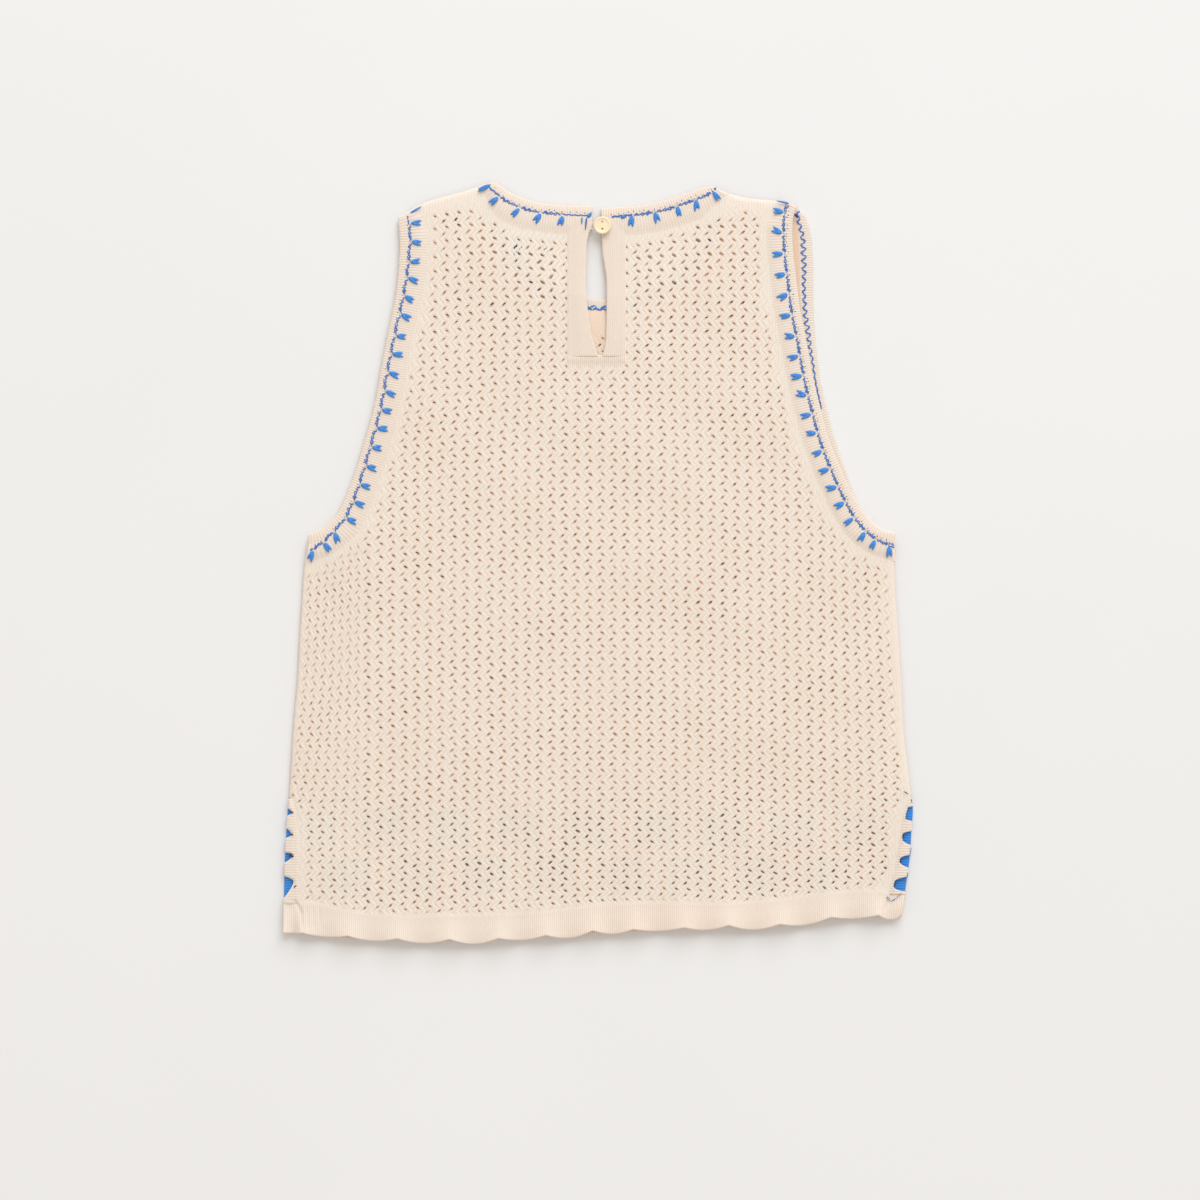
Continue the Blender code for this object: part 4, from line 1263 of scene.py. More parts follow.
def yarns(paths: Array, radii: Array, flatness: float = 0.7, twist: float = 1.6 * MM) -> Shape:
    """Lengths of yarn as closed tubes.

    Round each point of a path the tube's ring is the side direction times a cosine plus the upward one
    times a flattened sine, and each end is closed by two faces.

    Args:
        paths: The paths, yarns by points by 3.
        radii: The radius at each point, yarns by points.
        flatness: The tube's height over its width.
        twist: The length of one turn of the yarn's strands.

    Returns:
        All the tubes as one shape.
    """
    count, steps = paths.shape[:2]
    sides = YARN_SIDES
    ahead = unit(np.gradient(paths, axis=1))
    sideways = unit(np.cross(ahead, np.array([0.0, 0.0, 1.0])))
    upwards = np.cross(sideways, ahead)
    angle = TURN * np.arange(sides) / sides
    ring = (
        np.cos(angle)[None, None, :, None] * sideways[:, :, None]
        + flatness * np.sin(angle)[None, None, :, None] * upwards[:, :, None]
    )
    points = paths[:, :, None] + radii[:, :, None, None] * ring
    corner = np.arange(count * steps * sides).reshape(count, steps, sides)
    after = np.roll(corner, -1, axis=2)
    walls = abreast(corner[:, :-1], corner[:, 1:], after[:, 1:], after[:, :-1]).reshape(-1, 4)
    halves = [(0, k, k + 1, k + 2) for k in range(1, sides - 2, 2)]
    caps = [corner[:, 0][:, half] for half in halves] + [corner[:, -1][:, half[::-1]] for half in halves]
    length = np.concatenate(
        [np.zeros((count, 1)), np.cumsum(np.linalg.norm(np.diff(paths, axis=1), axis=2), axis=1)], axis=1
    )
    along = np.broadcast_to((length / twist)[:, :, None], corner.shape)
    around = np.broadcast_to(np.arange(sides) / sides, corner.shape)
    weave = abreast(along, around).reshape(-1, 2)
    faces = np.concatenate([walls, *caps])
    return Shape(points.reshape(-1, 3), faces, weave, np.zeros(corner.size))


class Materials:
    """Every finish of the garment, built once."""

    def __init__(self) -> None:
        """Builds the finishes."""
        knits = (
            KnitFinish("cream_open_knit", (0.975, 0.965, 0.895, 1.0), groove_shade=0.8, light_through=0.18),
            # The front's yarn gets a darker, warmer pale than the back's same yarn, as painted shade beneath
            # the back.
            BorderedKnitFinish("cream_open_knit_front_painted_shade", (0.97, 0.84, 0.70, 1.0), (0.76, 0.46, 0.31, 1.0)),
            KnitFinish("cream_plain_knit"),
            KnitFinish(
                "blue_plain_knit", (0.06, 0.30, 0.80, 1.0), (0.012, 0.08, 0.36, 1.0),
                groove_shade=0.8, light_through=0.0,
            ),
        )
        yarn = (
            YarnFinish("blue_yarn", (0.065, 0.29, 0.75, 1.0), (0.03, 0.15, 0.52, 1.0)),
            YarnFinish("blue_line_yarn", (0.085, 0.22, 0.62, 1.0), (0.03, 0.08, 0.28, 1.0)),
            YarnFinish("dark_blue_yarn", (0.02, 0.05, 0.16, 1.0), (0.008, 0.02, 0.07, 1.0)),
            YarnFinish("cream_yarn", (0.96, 0.90, 0.80, 1.0), (0.80, 0.68, 0.54, 1.0)),
        )
        self.open_knit, self.front_knit, self.plain_knit, self.blue_knit = (one.material() for one in knits)
        self.blue_yarn, self.line_yarn, self.dark_yarn, self.cream_yarn = (one.material() for one in yarn)
        self.button = ButtonFinish().material()


@dataclass
class Panels:
    """The back and the front in open knit, each in an upper and a lower half."""

    finishes: Materials
    under: float = 1.5 * MM
    back_level: float = 0.9 * MM
    front_level: float = 1.0 * MM
    between: float = 0.5 * MM
    split_course: int = -8
    hem_tuck: float = 2.0 * MM
    vent_tuck: float = 0.4 * MM
    # How far the front's holes lie off the back's, and how much wider they are apart.
    front_shift: Pair = (0.14 * MM, 0.62 * MM)
    front_wider: float = 1.0025

    def side_runs(self, arm: dict[str, Sections], layer: str) -> dict[Run, Array]:
        """The runs that both panels have, from the hem anticlockwise, with gaps for the neck."""
        x = np.linspace(LEFT_VENT_ROOT[0][0], RIGHT_VENT_ROOT[0][0], 60) * MM
        foot = abreast(x, LIE.hem_line(x) - self.hem_tuck)
        away = np.array([-self.vent_tuck, 0.0])
        return {
            Run.HEM: foot,
            Run.VENT_RIGHT: np.array(RIGHT_VENT_ROOT)[:-1] * MM + away,
            Run.SIDE_RIGHT: smooth(RIGHT_SIDE, even(24)),
            Run.ARMHOLE_RIGHT: arm[f"right_{layer}"].inner(-self.under)[3:-3],
            Run.SHOULDER_RIGHT: smooth(RIGHT_SHOULDER, even(10)),
            Run.SHOULDER_LEFT: smooth(LEFT_SHOULDER, even(10))[::-1],
            Run.ARMHOLE_LEFT: arm[f"left_{layer}"].inner(-self.under)[3:-3][::-1],
            Run.SIDE_LEFT: smooth(LEFT_SIDE, even(24))[::-1],
            Run.VENT_LEFT: np.array(LEFT_VENT_ROOT)[:-1][::-1] * MM - away,
        }

    def back_outline(self) -> Outline:
        """The back's outline, open where the keyhole's facings are."""
        sides = self.side_runs(armhole_sections(6 * MM), "back")
        neck = neck_sections(4 * MM)
        right, left = neck["right"].inner(-self.under), neck["left"].inner(-self.under)
        right = right[right[:, 0] > FACING_RIGHT - self.under]
        left = left[left[:, 0] < FACING_LEFT + self.under][::-1]
        foot = FACING_FOOT + self.under
        x_right, x_left = FACING_RIGHT - self.under, FACING_LEFT + self.under
        facing = np.array([(x_right, right[-1, 1]), (x_right, foot), (x_left, foot), (x_left, left[0, 1])])
        return Outline({**sides, Run.NECK: right, Run.FACING: facing, Run.NECK_LEFT: left})

    def front_outline(self) -> Outline:
        """The front's outline, with its scoop neck."""
        sides = self.side_runs(armhole_sections(6 * MM), "front")
        return Outline({**sides, Run.NECK: LIE.scoop(LIE.scoop_band - self.under, 40)[::-1]})

    def front_rise(self, x: Array, y: Array) -> Array:
        """How much higher the front's knit lies away from its outline: there it nearly meets the back's."""
        return LIE.back(x, y) + self.back_level - self.between - LIE.front(x, y) - self.front_level

    def dress(self) -> None:
        knit = OpenKnit()
        first_hole = (knit.first_hole[0] + self.front_shift[0], knit.first_hole[1] + self.front_shift[1])
        beneath = OpenKnit(first_hole=first_hole, pitch=knit.pitch * self.front_wider)
        margins = {
            Run.HEM: 3.6, Run.VENT_RIGHT: 6.5, Run.SIDE_RIGHT: 5.0, Run.ARMHOLE_RIGHT: 16.4,
            Run.SHOULDER_RIGHT: 9.0, Run.NECK: 17.2, Run.FACING: 2.4, Run.NECK_LEFT: 17.2,
            Run.SHOULDER_LEFT: 9.0, Run.ARMHOLE_LEFT: 15.0, Run.SIDE_LEFT: 2.0, Run.VENT_LEFT: 4.5,
        }
        margins = {kind: width * MM for kind, width in margins.items()}
        front, up = beneath.sheet(self.front_outline(), margins, LIE.front, self.front_level, self.front_rise)
        self.halves("front", front, up, self.finishes.front_knit, ["surface"])
        back, up = knit.sheet(self.back_outline(), margins, LIE.back, self.back_level, lambda x, y: 0.0 * x)
        self.halves("back", back, up, self.finishes.open_knit, ["front_knit_lower", "front_knit_upper"])

    def halves(self, layer: str, whole: Shape, up: Array, finish: Material, below: list[str]) -> None:
        """Splits a panel along a course and builds both halves."""
        for half, keep in (("lower", up < self.split_course), ("upper", up >= self.split_course)):
            part = whole.with_faces(keep)
            made = part.build(f"{layer}_knit_{half}", finish, "open_knit", f"{layer}_panel")
            area = part.flat_area()


@dataclass
class Bands:
    """The bands round the armholes and the neck, the hem bands and the keyhole's facings."""

    finishes: Materials
    arm_lap: float = 10.5 * MM
    arm_lap_front: float = 6.0 * MM
    neck_lap: float = 12.5 * MM
    neck_lap_rise: float = 7.0 * MM
    scoop_lap: float = 8.0 * MM
    # The shares of their laps that the bands keep at their ends.
    arm_left_ends: Pair = (1.0, 0.75)
    arm_right_ends: Pair = (1.0, 0.12)
    neck_ends: Pair = (0.4, 0.55)
    groove: float = 0.15 * MM
    facing_sink: float = 0.5 * MM
    hem_rib: float = 1.2 * MM
    # Where the front's hem shows below the back's: x, and how wide and deep.
    low_places: Row = (-151.0, -3.4, 21.0)
    low_reach: float = 6.5 * MM
    low_depth: float = 1.9 * MM
    facing_rib: float = 1.2 * MM
    # How far the bar at the slit's foot goes over the slit and the facings, and below its own line.
    foot_over: float = 1.0 * MM
    foot_below: float = 0.4 * MM
    end_tilt: float = math.radians(10.0)
    tilt_reach: float = 12 * MM
    rib_step: float = TAPE_RIB / SAMPLES_PER_RIB

    def add(self, name: str, strip: FoldedStrip, below: list[str]) -> None:
        made = strip.shape().build(name, self.finishes.plain_knit, "plain_knit", name)

    def armholes(self) -> None:
        """The four half bands of the armholes."""
        for name, line in armhole_sections(self.rib_step).items():
            if name.endswith("back"):
                lie, below, lap = LIE.back, ["front_knit_upper"], self.arm_lap
            else:
                lie, below, lap = LIE.front, ["surface"], self.arm_lap_front
            ends = self.arm_right_ends if name.startswith("right") else self.arm_left_ends
            strip = FoldedStrip(line, lie, lap=lap, lap_ends=ends, seam_groove=self.groove)
            self.add(f"armhole_band_{name}", strip, below)

    def neck(self) -> None:
        """The two halves of the back's neck band, and the front's round the scoop."""
        for side, line in neck_sections(self.rib_step).items():
            strip = FoldedStrip(
                line, LIE.back, lap=self.neck_lap, lap_ends=self.neck_ends, lap_rise=self.neck_lap_rise,
                seam_groove=self.groove,
            )
            self.add(f"neck_band_back_{side}", strip, ["front_knit_upper"])
        outer = LIE.scoop(0.0, round(math.pi * LIE.scoop_size[1] / self.rib_step))
        width = np.full(len(outer), LIE.scoop_band)
        line = Sections(outer, LIE.out_of_scoop(outer), width, run_along(outer))
        self.add("neck_band_front", FoldedStrip(line, LIE.front, lap=self.scoop_lap), ["surface"])

    def facings(self) -> None:
        """The facings of the slit in fine plain knit, and the bar across its foot."""
        sides = (("left", SLIT_LEFT, FACING_LEFT, -1.0), ("right", SLIT_RIGHT, FACING_RIGHT, 1.0))
        for side, rows, x, way in sides:
            length = run_along(smooth(rows, even(FINE_STEPS)))[-1]
            at = with_close_ends(length, 0.6 * MM)
            outer = smooth(rows, at / length)
            across = np.broadcast_to(np.array([way, 0.0]), outer.shape)
            line = Sections(outer, across, np.abs(x - outer[:, 0]), at)
            steps = round(float(line.width.mean()) / (self.facing_rib / SAMPLES_PER_RIB))
            strip = FoldedStrip(
                line, LIE.back, ribs=Ribs.ALONG, rib_pitch=self.facing_rib, rib_height=0.035 * MM,
                top_steps=steps, lap=1.2 * MM, sink=self.facing_sink,
            )
            self.add(f"placket_{side}", strip, ["front_knit_upper"])
        over, below = self.foot_over, self.foot_below
        x = FACING_LEFT - over + with_close_ends(FACING_RIGHT - FACING_LEFT + 2 * over, 0.3 * MM)
        top = abreast(x, np.full_like(x, SLIT_FOOT + over))
        down = np.broadcast_to(np.array([0.0, -1.0]), top.shape)
        line = Sections(top, down, np.full(len(x), SLIT_FOOT - FACING_FOOT + over + below), x)
        strip = FoldedStrip(
            line, LIE.back, wall=1.3 * MM, rib_pitch=self.facing_rib, rib_height=0.04 * MM,
            sink=0.35 * MM, lap_edge=0.6,
        )
        self.add("placket_foot", strip, ["front_knit_upper"])

    def hems(self) -> None:
        """The ruffled hem bands."""
        step = self.hem_rib / SAMPLES_PER_RIB
        first, last = HEM_VALLEYS[0][0], HEM_VALLEYS[-1][0]
        x = first * MM + with_close_ends((last - first) * MM, step)
        for layer, lie, below in (("front", LIE.front, ["surface"]), ("back", LIE.back, ["hem_band_front"])):
            edge, _ = LIE.ruffle(x)
            if layer == "front":
                low = sum(np.exp(-(((x - middle * MM) / self.low_reach) ** 2)) for middle in self.low_places)
                edge = read_table(HEM_VALLEYS, x) - LIE.front_hem_shorter - self.low_depth * low
            outer = abreast(x, edge)
            tilt = self.end_tilt * eased((x - x[-1]) / self.tilt_reach + 1.0) ** 2
            up = abreast(np.sin(tilt), np.cos(tilt))
            line = Sections(outer, up, (LIE.hem_line(x) - edge) / np.cos(tilt), x)
            strip = FoldedStrip(
                line, lie, rib_pitch=self.hem_rib, rib_height=0.05 * MM, top_steps=8, sink=0.7 * MM,
                lap=3.5 * MM, lap_edge=0.4,
            )
            self.add(f"hem_band_{layer}", strip, below)

    def dress(self) -> None:
        """Builds every band."""
        self.hems()
        self.armholes()
        self.neck()
        self.facings()


@dataclass
class VentEdgings:
    """The edgings of the side vents: cream scallops on the back, and blue beneath on the front."""

    finishes: Materials
    step: float = 0.36 * MM
    wall: float = 1.6 * MM
    least: float = 0.04
    root_tuck: float = 0.3 * MM
    above_hem: float = 0.4 * MM
    least_flat: float = 0.0102
    yarn_points: int = 32

    # The gaps between scallops: y of the deepest point, how far the gap opens above and below it, its
    # depth, and how blunt it is above and below.
    left_gaps: Table = (
        (-148.8, 2.4, 3.1, 3, 1.5, 2.5), (-162.6, 4.2, 2.6, 3.5, 2.2, 2.5),
        (-175.2, 2.4, 4.8, 4.8, 2.2, 2), (-191.2, 4, 10.4, 6.3, 2.5, 1.3),
    )
    right_gaps: Table = (
        (-149.6, 3.9, 5, 5.8, 5, 5), (-164, 3.5, 5, 6, 3.5, 2.4),
        (-178.2, 3.5, 4.3, 6.2, 3, 2.3), (-192.4, 4.6, 4.4, 7.8, 3.2, 3.5),
    )

    def depth(self, y: Array, gaps: Table) -> Array:
        """How deep the gaps are at each y: 1 less a power of the way off from the deepest point."""
        deep = np.zeros_like(y)
        for middle, above, below, most, blunt_above, blunt_below in gaps:
            up = y / MM - middle
            off = np.where(up > 0, up / above, -up / below)
            blunt = np.where(up > 0, blunt_above, blunt_below)
            deep = np.maximum(deep, most * MM * (1.0 - np.clip(off, 0.0, 1.0) ** blunt))
        return deep

    def edge_yarns(self, side: str, tip: Array, y: Array, inwards: float, gaps: Table) -> None:
        """A yarn along each gap's edge: bright on the left, thin and dark on the right."""
        paths = []
        for middle, above, below in (row[:3] for row in gaps):
            at = np.linspace(middle - below, middle + above, self.yarn_points) * MM
            x = np.interp(at, y, tip) - inwards * 0.1 * MM
            paths.append(abreast(x, at, LIE.back(x, at) + self.wall * 0.62))
        if side == "left":
            radius, finish, slot = 0.32 * MM, self.finishes.cream_yarn, "plain_knit"
        else:
            radius, finish, slot = 0.16 * MM, self.finishes.line_yarn, "blue_yarn"
        made = yarns(np.array(paths), np.full((len(gaps), self.yarn_points), radius), flatness=0.8)
        made.build(f"scallop_yarn_{side}", finish, slot)

    def dress(self) -> None:
        """Builds the four edgings."""
        sides = (
            ("left", LEFT_VENT_ROOT, LEFT_VENT_EDGE, self.left_gaps, 1.0),
            ("right", RIGHT_VENT_ROOT, RIGHT_VENT_EDGE, self.right_gaps, -1.0),
        )
        for side, root_rows, edge_rows, gaps, inwards in sides:
            low = float(LIE.hem_line(np.array([root_rows[0][0] * MM]))[0]) + self.above_hem
            high = edge_rows[-1][1] * MM
            y = low + with_close_ends(high - low, self.step)
            root = LIE.outline_at(y, root_rows) - inwards * self.root_tuck
            curve = smooth(edge_rows, even(FINE_STEPS))
            edge = np.interp(y, curve[:, 1], curve[:, 0])
            across = np.broadcast_to(np.array([inwards, 0.0]), (len(y), 2))
            reach_back = np.maximum(1.0 - self.depth(y, gaps) / np.abs(edge - root), self.least)
            for layer, lie, reach, finish, slot in (
                ("front", LIE.front, np.ones_like(y), self.finishes.blue_knit, "blue_yarn"),
                ("back", LIE.back, reach_back, self.finishes.plain_knit, "plain_knit"),
            ):
                tip = root + (edge - root) * reach
                line = Sections(abreast(tip, y), across, np.abs(tip - root), y)
                strip = FoldedStrip(
                    line, lie, wall=self.wall, rib_pitch=1.6 * MM, rib_height=0.03 * MM, crown=0.3 * MM
                )
                name = f"vent_edging_{side}_{layer}"
                made = strip.shape().build(name, finish, slot, name)
            self.edge_yarns(side, tip, y, inwards, gaps)


@dataclass
class StitchedSeam:
    """Blue yarn over a seam: a pointed stitch at each place, and a thin wavy line between them."""

    line: Array
    runs: Array
    inwards: Array
    lie: Height
    places: Array
    span: Pair
    lean: Row
    seed: int
    height: float = 1.95 * MM
    stitch_length: float = 6.4 * MM
    spread: float = 13.5
    start: float = 0.5 * MM
    bulge: float = 0.9 * MM
    points: int = 9

    def at(self, run: Array) -> tuple[Array, Array]:
        """The seam's places and inward directions at distances along it."""
        inwards = read_line(self.inwards, self.runs, run)
        return read_line(self.line, self.runs, run), unit(inwards)

    def raised(self, place: Array, height: Array) -> Array:
        """Places with their height above the layer's underside."""
        return lifted(place, self.lie(place[..., 0], place[..., 1]) + height)

    def stitches(self) -> Shape:
        """The pointed stitches: two long strands that cross near the seam and a short one between them."""
        rng = np.random.default_rng(self.seed)
        count = len(self.places)
        apex, inwards = self.at(self.places)
        sideways = left_of(inwards)
        lean = np.radians(np.array(self.lean) + rng.normal(0, 4, count))
        t = even(self.points)
        taper = np.interp(t, (0.0, 0.12, 0.35, 0.7, 1.0), (0.45, 0.85, 1.0, 0.8, 0.15))
        shapes = []
        for side, share, radius in ((-1.0, 1.0, 1.16), (1.0, 0.96, 1.16), (0.0, 0.6, 1.0)):
            turn = lean + np.radians(self.spread + rng.normal(0, 2.0, count)) * side
            cos, sin = np.cos(turn)[:, None], np.sin(turn)[:, None]
            way = inwards * cos + sideways * sin
            long = self.stitch_length * share * rng.uniform(0.9, 1.07, count)
            begin = apex + self.start * inwards - side * 0.1 * MM * sideways
            place = begin[:, None] + way[:, None] * (long[:, None] * t)[..., None]
            arch = np.sin(math.pi * np.clip(t * 0.9 + 0.06, 0.0, 1.0)) ** 0.5
            lift = self.height + 0.4 * MM * arch - 0.1 * MM
            path = self.raised(place, np.broadcast_to(lift, place.shape[:2]))
            radii = radius * MM * taper * rng.uniform(0.88, 1.1, (count, 1))
            shapes.append(yarns(path, radii, flatness=0.55, twist=2.6 * MM))
        return Shape.joined(shapes)

    def thread(self) -> Shape:
        """The thin line: it bulges outwards between stitches, with small bends, thick after a stitch and
        thin before the next, and a finer strand beside it."""
        rng = np.random.default_rng(self.seed + 1)
        run = np.arange(*self.span, 0.3 * MM)
        count = len(self.places)
        index = np.interp(run, self.places, np.arange(count), left=-0.6, right=count - 0.4)
        place, inwards = self.at(run)
        shapes = []
        near = np.abs(index - np.round(index))
        kept = 0.12 + 0.88 * eased((near - 0.06) / 0.12)
        for radius, offset, wiggle, bends in ((0.4, 0.0, 0.4, 5.0), (0.26, 0.6, 0.45, 4.0)):
            phase = rng.uniform(0, TURN)
            out = self.bulge * np.abs(np.sin(math.pi * index)) + offset * MM
            out = out + wiggle * MM * np.sin(TURN * bends * index + phase)
            out = out + 0.2 * MM * np.sin(run / (0.55 * MM) + phase)
            lift = self.height + 0.12 * MM * np.sin(run / (0.6 * MM))
            radii = radius * MM * kept * (1.0 + 0.3 * np.sin(TURN * index + 0.6 + 9 * offset))
            path = self.raised(place - out[:, None] * inwards, lift)
            shapes.append(yarns(path[None], radii[None], flatness=0.75))
        return Shape.joined(shapes)

    def knots(self) -> Shape:
        """Short dark ends of yarn that stand out beside the line, a few between two stitches."""
        rng = np.random.default_rng(self.seed + 2)
        count = 4 * len(self.places)
        run = np.linspace(*self.span, count) + rng.normal(0, 0.6 * MM, count)
        place, inwards = self.at(np.clip(run, *self.span))
        out = rng.uniform(0.9, 1.9, count) * MM
        t = even(3)
        reach = out[:, None] + t[None] * rng.uniform(0.4, 1.0, (count, 1)) * MM
        path = place[:, None] - reach[..., None] * inwards[:, None]
        path = self.raised(path, np.full(path.shape[:2], self.height - 0.05 * MM))
        return yarns(path, np.full(path.shape[:2], 0.2 * MM), flatness=0.7)


@dataclass
class Embroidery:
    """All the blue yarn: the stitched seams of the back, and the wrong side of the front's."""

    finishes: Materials
    # How high yarn lies over the cloth's underside: on top of it, at the vents, and beneath the back.
    top: float = 2.0 * MM
    top_at_vents: float = 1.8 * MM
    top_beneath: float = 0.1 * MM

    # How far each stitch of the armholes leans, from the underarm to the shoulder.
    left_leans: Row = (-29, 13, -13, 2, 1, 9, 4, 17, 13, -2, -17, -17, 15, 12, -23, -29, -27, 7, -8, -17)
    right_leans: Row = (13, 3, 18, 5, -6, -8, 0, 1, -11, 0, -30, -9, 0, -17, -7, 27, 13, 5, -22, 11)
    # Single stitches: from x, y to x, y, radius.
    dabs: Table = (
        (-112.3, 209.6, -105.6, 213.4, 0.62), (114, 215.2, 106.4, 216.7, 0.6),
        (-64.9, 226.1, -71.9, 223.4, 1.1), (-65.6, 225.2, -72, 222.2, 0.9),
        (-6.4, 206.9, -4, 209.9, 0.95), (13.4, 206.9, 17, 207.6, 0.9), (69.5, 223.4, 70.4, 224.8, 0.7),
    )
    # Fine threads beside the slit and along the right vent: from x, y to x, y, radius.
    threads: Table = (
        (-9.8, 207, -9.9, 202.6, 0.4), (-7, 206.8, -7.8, 199, 0.5),
        (114.2, 213.7, 111.2, 211.7, 0.35), (172.6, -200.9, 175.2, -202.4, 0.25),
        (175.2, -202.4, 178.3, -200.6, 0.28), (178.3, -200.6, 181.6, -196.8, 0.2),
        (187.2, -170.4, 186.6, -175.6, 0.22), (185.2, -185.4, 184.8, -188.8, 0.22),
    )
    # Dark ends of yarn at the vents' gaps and the right shoulder: from x, y to x, y, radius.
    ends: Table = (
        (-184.6, -149.6, -182.3, -149.1, 0.5), (-184.6, -162.2, -182.5, -162.8, 0.55),
        (-185, -174, -182.5, -176.2, 0.9), (-182.3, -194.3, -180.6, -192.9, 0.4),
        (182.9, -136.8, 185.8, -138.5, 0.3), (187.2, -141.1, 187.9, -144, 0.2),
        (182.5, -161.9, 182.1, -165, 0.4), (117.6, 208.8, 119.4, 206.4, 0.7),
        (180.9, -177.4, 181.1, -179.5, 0.35), (177.7, -190.2, 177.5, -192.9, 0.35),
        (172.4, -199.9, 174.6, -200.9, 0.22),
    )
    # Lengths of dark yarn beneath the back's yoke, which show in its holes: from x, y to x, y, radius.
    knot: Table = (
        (-50.2, 196, -50.4, 176.5, 0.75), (-48.8, 197, -49, 177, 0.75),
        (-47.4, 196, -47.2, 178, 0.75), (-46, 193.5, -45.6, 179, 0.75),
        (-32.8, 190.5, -32.2, 185.5, 0.75), (-31.4, 190, -31.2, 186, 0.7),
        (-34.4, 186.5, -34, 182.5, 0.6), (-28, 193, -27, 189.5, 0.75),
        (-86, 207.2, -84.6, 203.4, 0.75), (-84.8, 207.6, -83.4, 204, 0.7),
    )

    @staticmethod
    def slack(run: Array, depth: float, reach: float) -> Array:
        """How far a stitched line leaves its seam near the start: a depth that fades over a reach."""
        return depth * np.clip(1.0 - run / reach, 0.0, 1.0) ** 1.4

    def seam(
        self, sections: Sections, slack: Pair, places: Array, lean: Row, seed: int,
        ends: Pair, **sizes: float
    ) -> StitchedSeam:
        """A stitched seam along a band's inner edge.

        Args:
            sections: The band's sections.
            slack: How far the line leaves the seam at its start, and over which reach.
            places: Where the stitches go along the band's inner edge, in millimetres.
            lean: How far each stitch leans, in degrees.
            seed: Picks the unevenness.
            ends: How far the line runs beyond the first and the last stitch, in millimetres.
            **sizes: Other sizes of the seam.

        Returns:
            The seam.
        """
        runs = run_along(sections.inner())
        line = sections.inner() + self.slack(runs, slack[0] * MM, slack[1] * MM)[:, None] * sections.across
        places = places * MM + np.random.default_rng(seed).normal(0.0, 0.12 * MM, len(places))
        span = (max(places[0] - ends[0] * MM, 0.0), min(places[-1] + ends[1] * MM, runs[-1]))
        return StitchedSeam(line, runs, sections.across, LIE.back, places, span, lean, seed, **sizes)

    def zigzag(
        self, line: Array, inwards: Array, reach: Array | float, period: float, start: float = 0.5 * MM
    ) -> Shape:
        """The dense zigzag of the wrong side: a triangle wave about a seam, with small barbs."""
        whole = run_along(line)
        run = np.arange(start, whole[-1] - 0.5 * MM, 0.25 * MM)
        across = read_line(inwards, whole, run)
        size = np.interp(run, whole, np.broadcast_to(reach, whole.shape))
        turn = TURN * run / period
        wave = np.arcsin(0.96 * np.sin(turn)) / 1.29
        wave = wave * (1.0 + 0.2 * np.sin(run / (7.1 * MM))) + 0.22 * np.sin(3 * turn + 1.0)
        place = read_line(line, whole, run) + (wave * size)[:, None] * across
        z = LIE.front(place[:, 0], place[:, 1]) + self.top + 0.1 * MM * np.sin(2 * turn)
        path = lifted(place, z)
        radii = 0.4 * MM * (1.0 + 0.3 * np.sin(run / (0.6 * MM)))
        beside = path + lifted(0.35 * MM * across * np.cos(run / (0.7 * MM))[:, None], 0 * z)
        beside = np.roll(beside, 3, axis=0)[4:]
        strands = [yarns(path[None], radii[None], flatness=0.75), yarns(beside[None], 0.6 * radii[None, 4:])]
        return Shape.joined(strands)

    def straight(self, rows: Table, top: float) -> Shape:
        """Straight lengths of yarn at a height over the back's underside, pointed at their far ends."""
        table = np.array(rows) * MM
        t = even(8)
        place = table[:, None, :2] + (table[:, 2:4] - table[:, :2])[:, None] * t[None, :, None]
        z = LIE.back(place[..., 0], place[..., 1]) + top + 0.35 * MM * np.sin(math.pi * t)[None]
        taper = np.interp(t, (0.0, 0.15, 0.4, 0.8, 1.0), (0.5, 0.9, 1.0, 0.7, 0.15))
        return yarns(lifted(place, z), table[:, 4:] * taper[None], flatness=0.6)

    def sew(self, name: str, yarn: Material, shape: Shape) -> None:
        """Builds blue yarn as a piece of its own."""
        shape.build(name, yarn, "blue_yarn")

    def dress(self) -> None:
        """Builds the stitching, a piece for each seam."""
        blue, line_blue, dark = self.finishes.blue_yarn, self.finishes.line_yarn, self.finishes.dark_yarn
        arm, neck = armhole_sections(1.0 * MM), neck_sections(0.6 * MM)
        index = np.arange(20)
        left = np.interp(
            index, (0, 1, 2, 5, 8, 13, 14, 16, 17, 18, 19),
            (3.2, 9.6, 18.2, 51, 86.2, 142.9, 155.7, 178, 187.3, 200, 210.6),
        )
        right = np.interp(
            index, (0, 1, 2, 5, 10, 13, 15, 17, 19),
            (3.8, 12.1, 19.6, 51.2, 108.5, 144.4, 170.3, 194.6, 219),
        )
        neck_left, neck_right = np.array([11.0, 25.0, 38.0, 51.3]), np.array([4.9, 16.8, 28.8, 42.5, 56.1])
        seams = {
            "armhole_left": self.seam(arm["left_back"], (5.2, 20.0), left, self.left_leans, 21, (1.4, 5.0)),
            "armhole_right": self.seam(
                arm["right_back"], (1.8, 25.0), right, self.right_leans, 22, (3.0, 5.0), bulge=-0.3 * MM,
                start=1.3 * MM
            ),
            "neck_left": self.seam(
                neck["left"], (0.0, 1.0), neck_left, (-10.0, -28.0, -30.0, -3.0), 23, (10.0, 17.5),
                bulge=-0.4 * MM, start=1.4 * MM
            ),
            "neck_right": self.seam(
                neck["right"], (-3.2, 14.0), neck_right, (-7.0, -12.0, 0.0, 10.0, -13.0), 24, (0.4, 12.5),
                bulge=-0.4 * MM, start=0.6 * MM
            ),
        }
        for name, seam in seams.items():
            self.sew(f"stitches_{name}", blue, seam.stitches())
            self.sew(f"stitch_line_{name}", line_blue, seam.thread())
            self.sew(f"stitch_knots_{name}", dark, seam.knots())
        self.sew("stitches_single", blue, self.straight(self.dabs, self.top))
        self.sew("threads_fine", line_blue, self.straight(self.threads, self.top))
        self.sew("yarn_ends_vents", dark, self.straight(self.ends, self.top_at_vents))
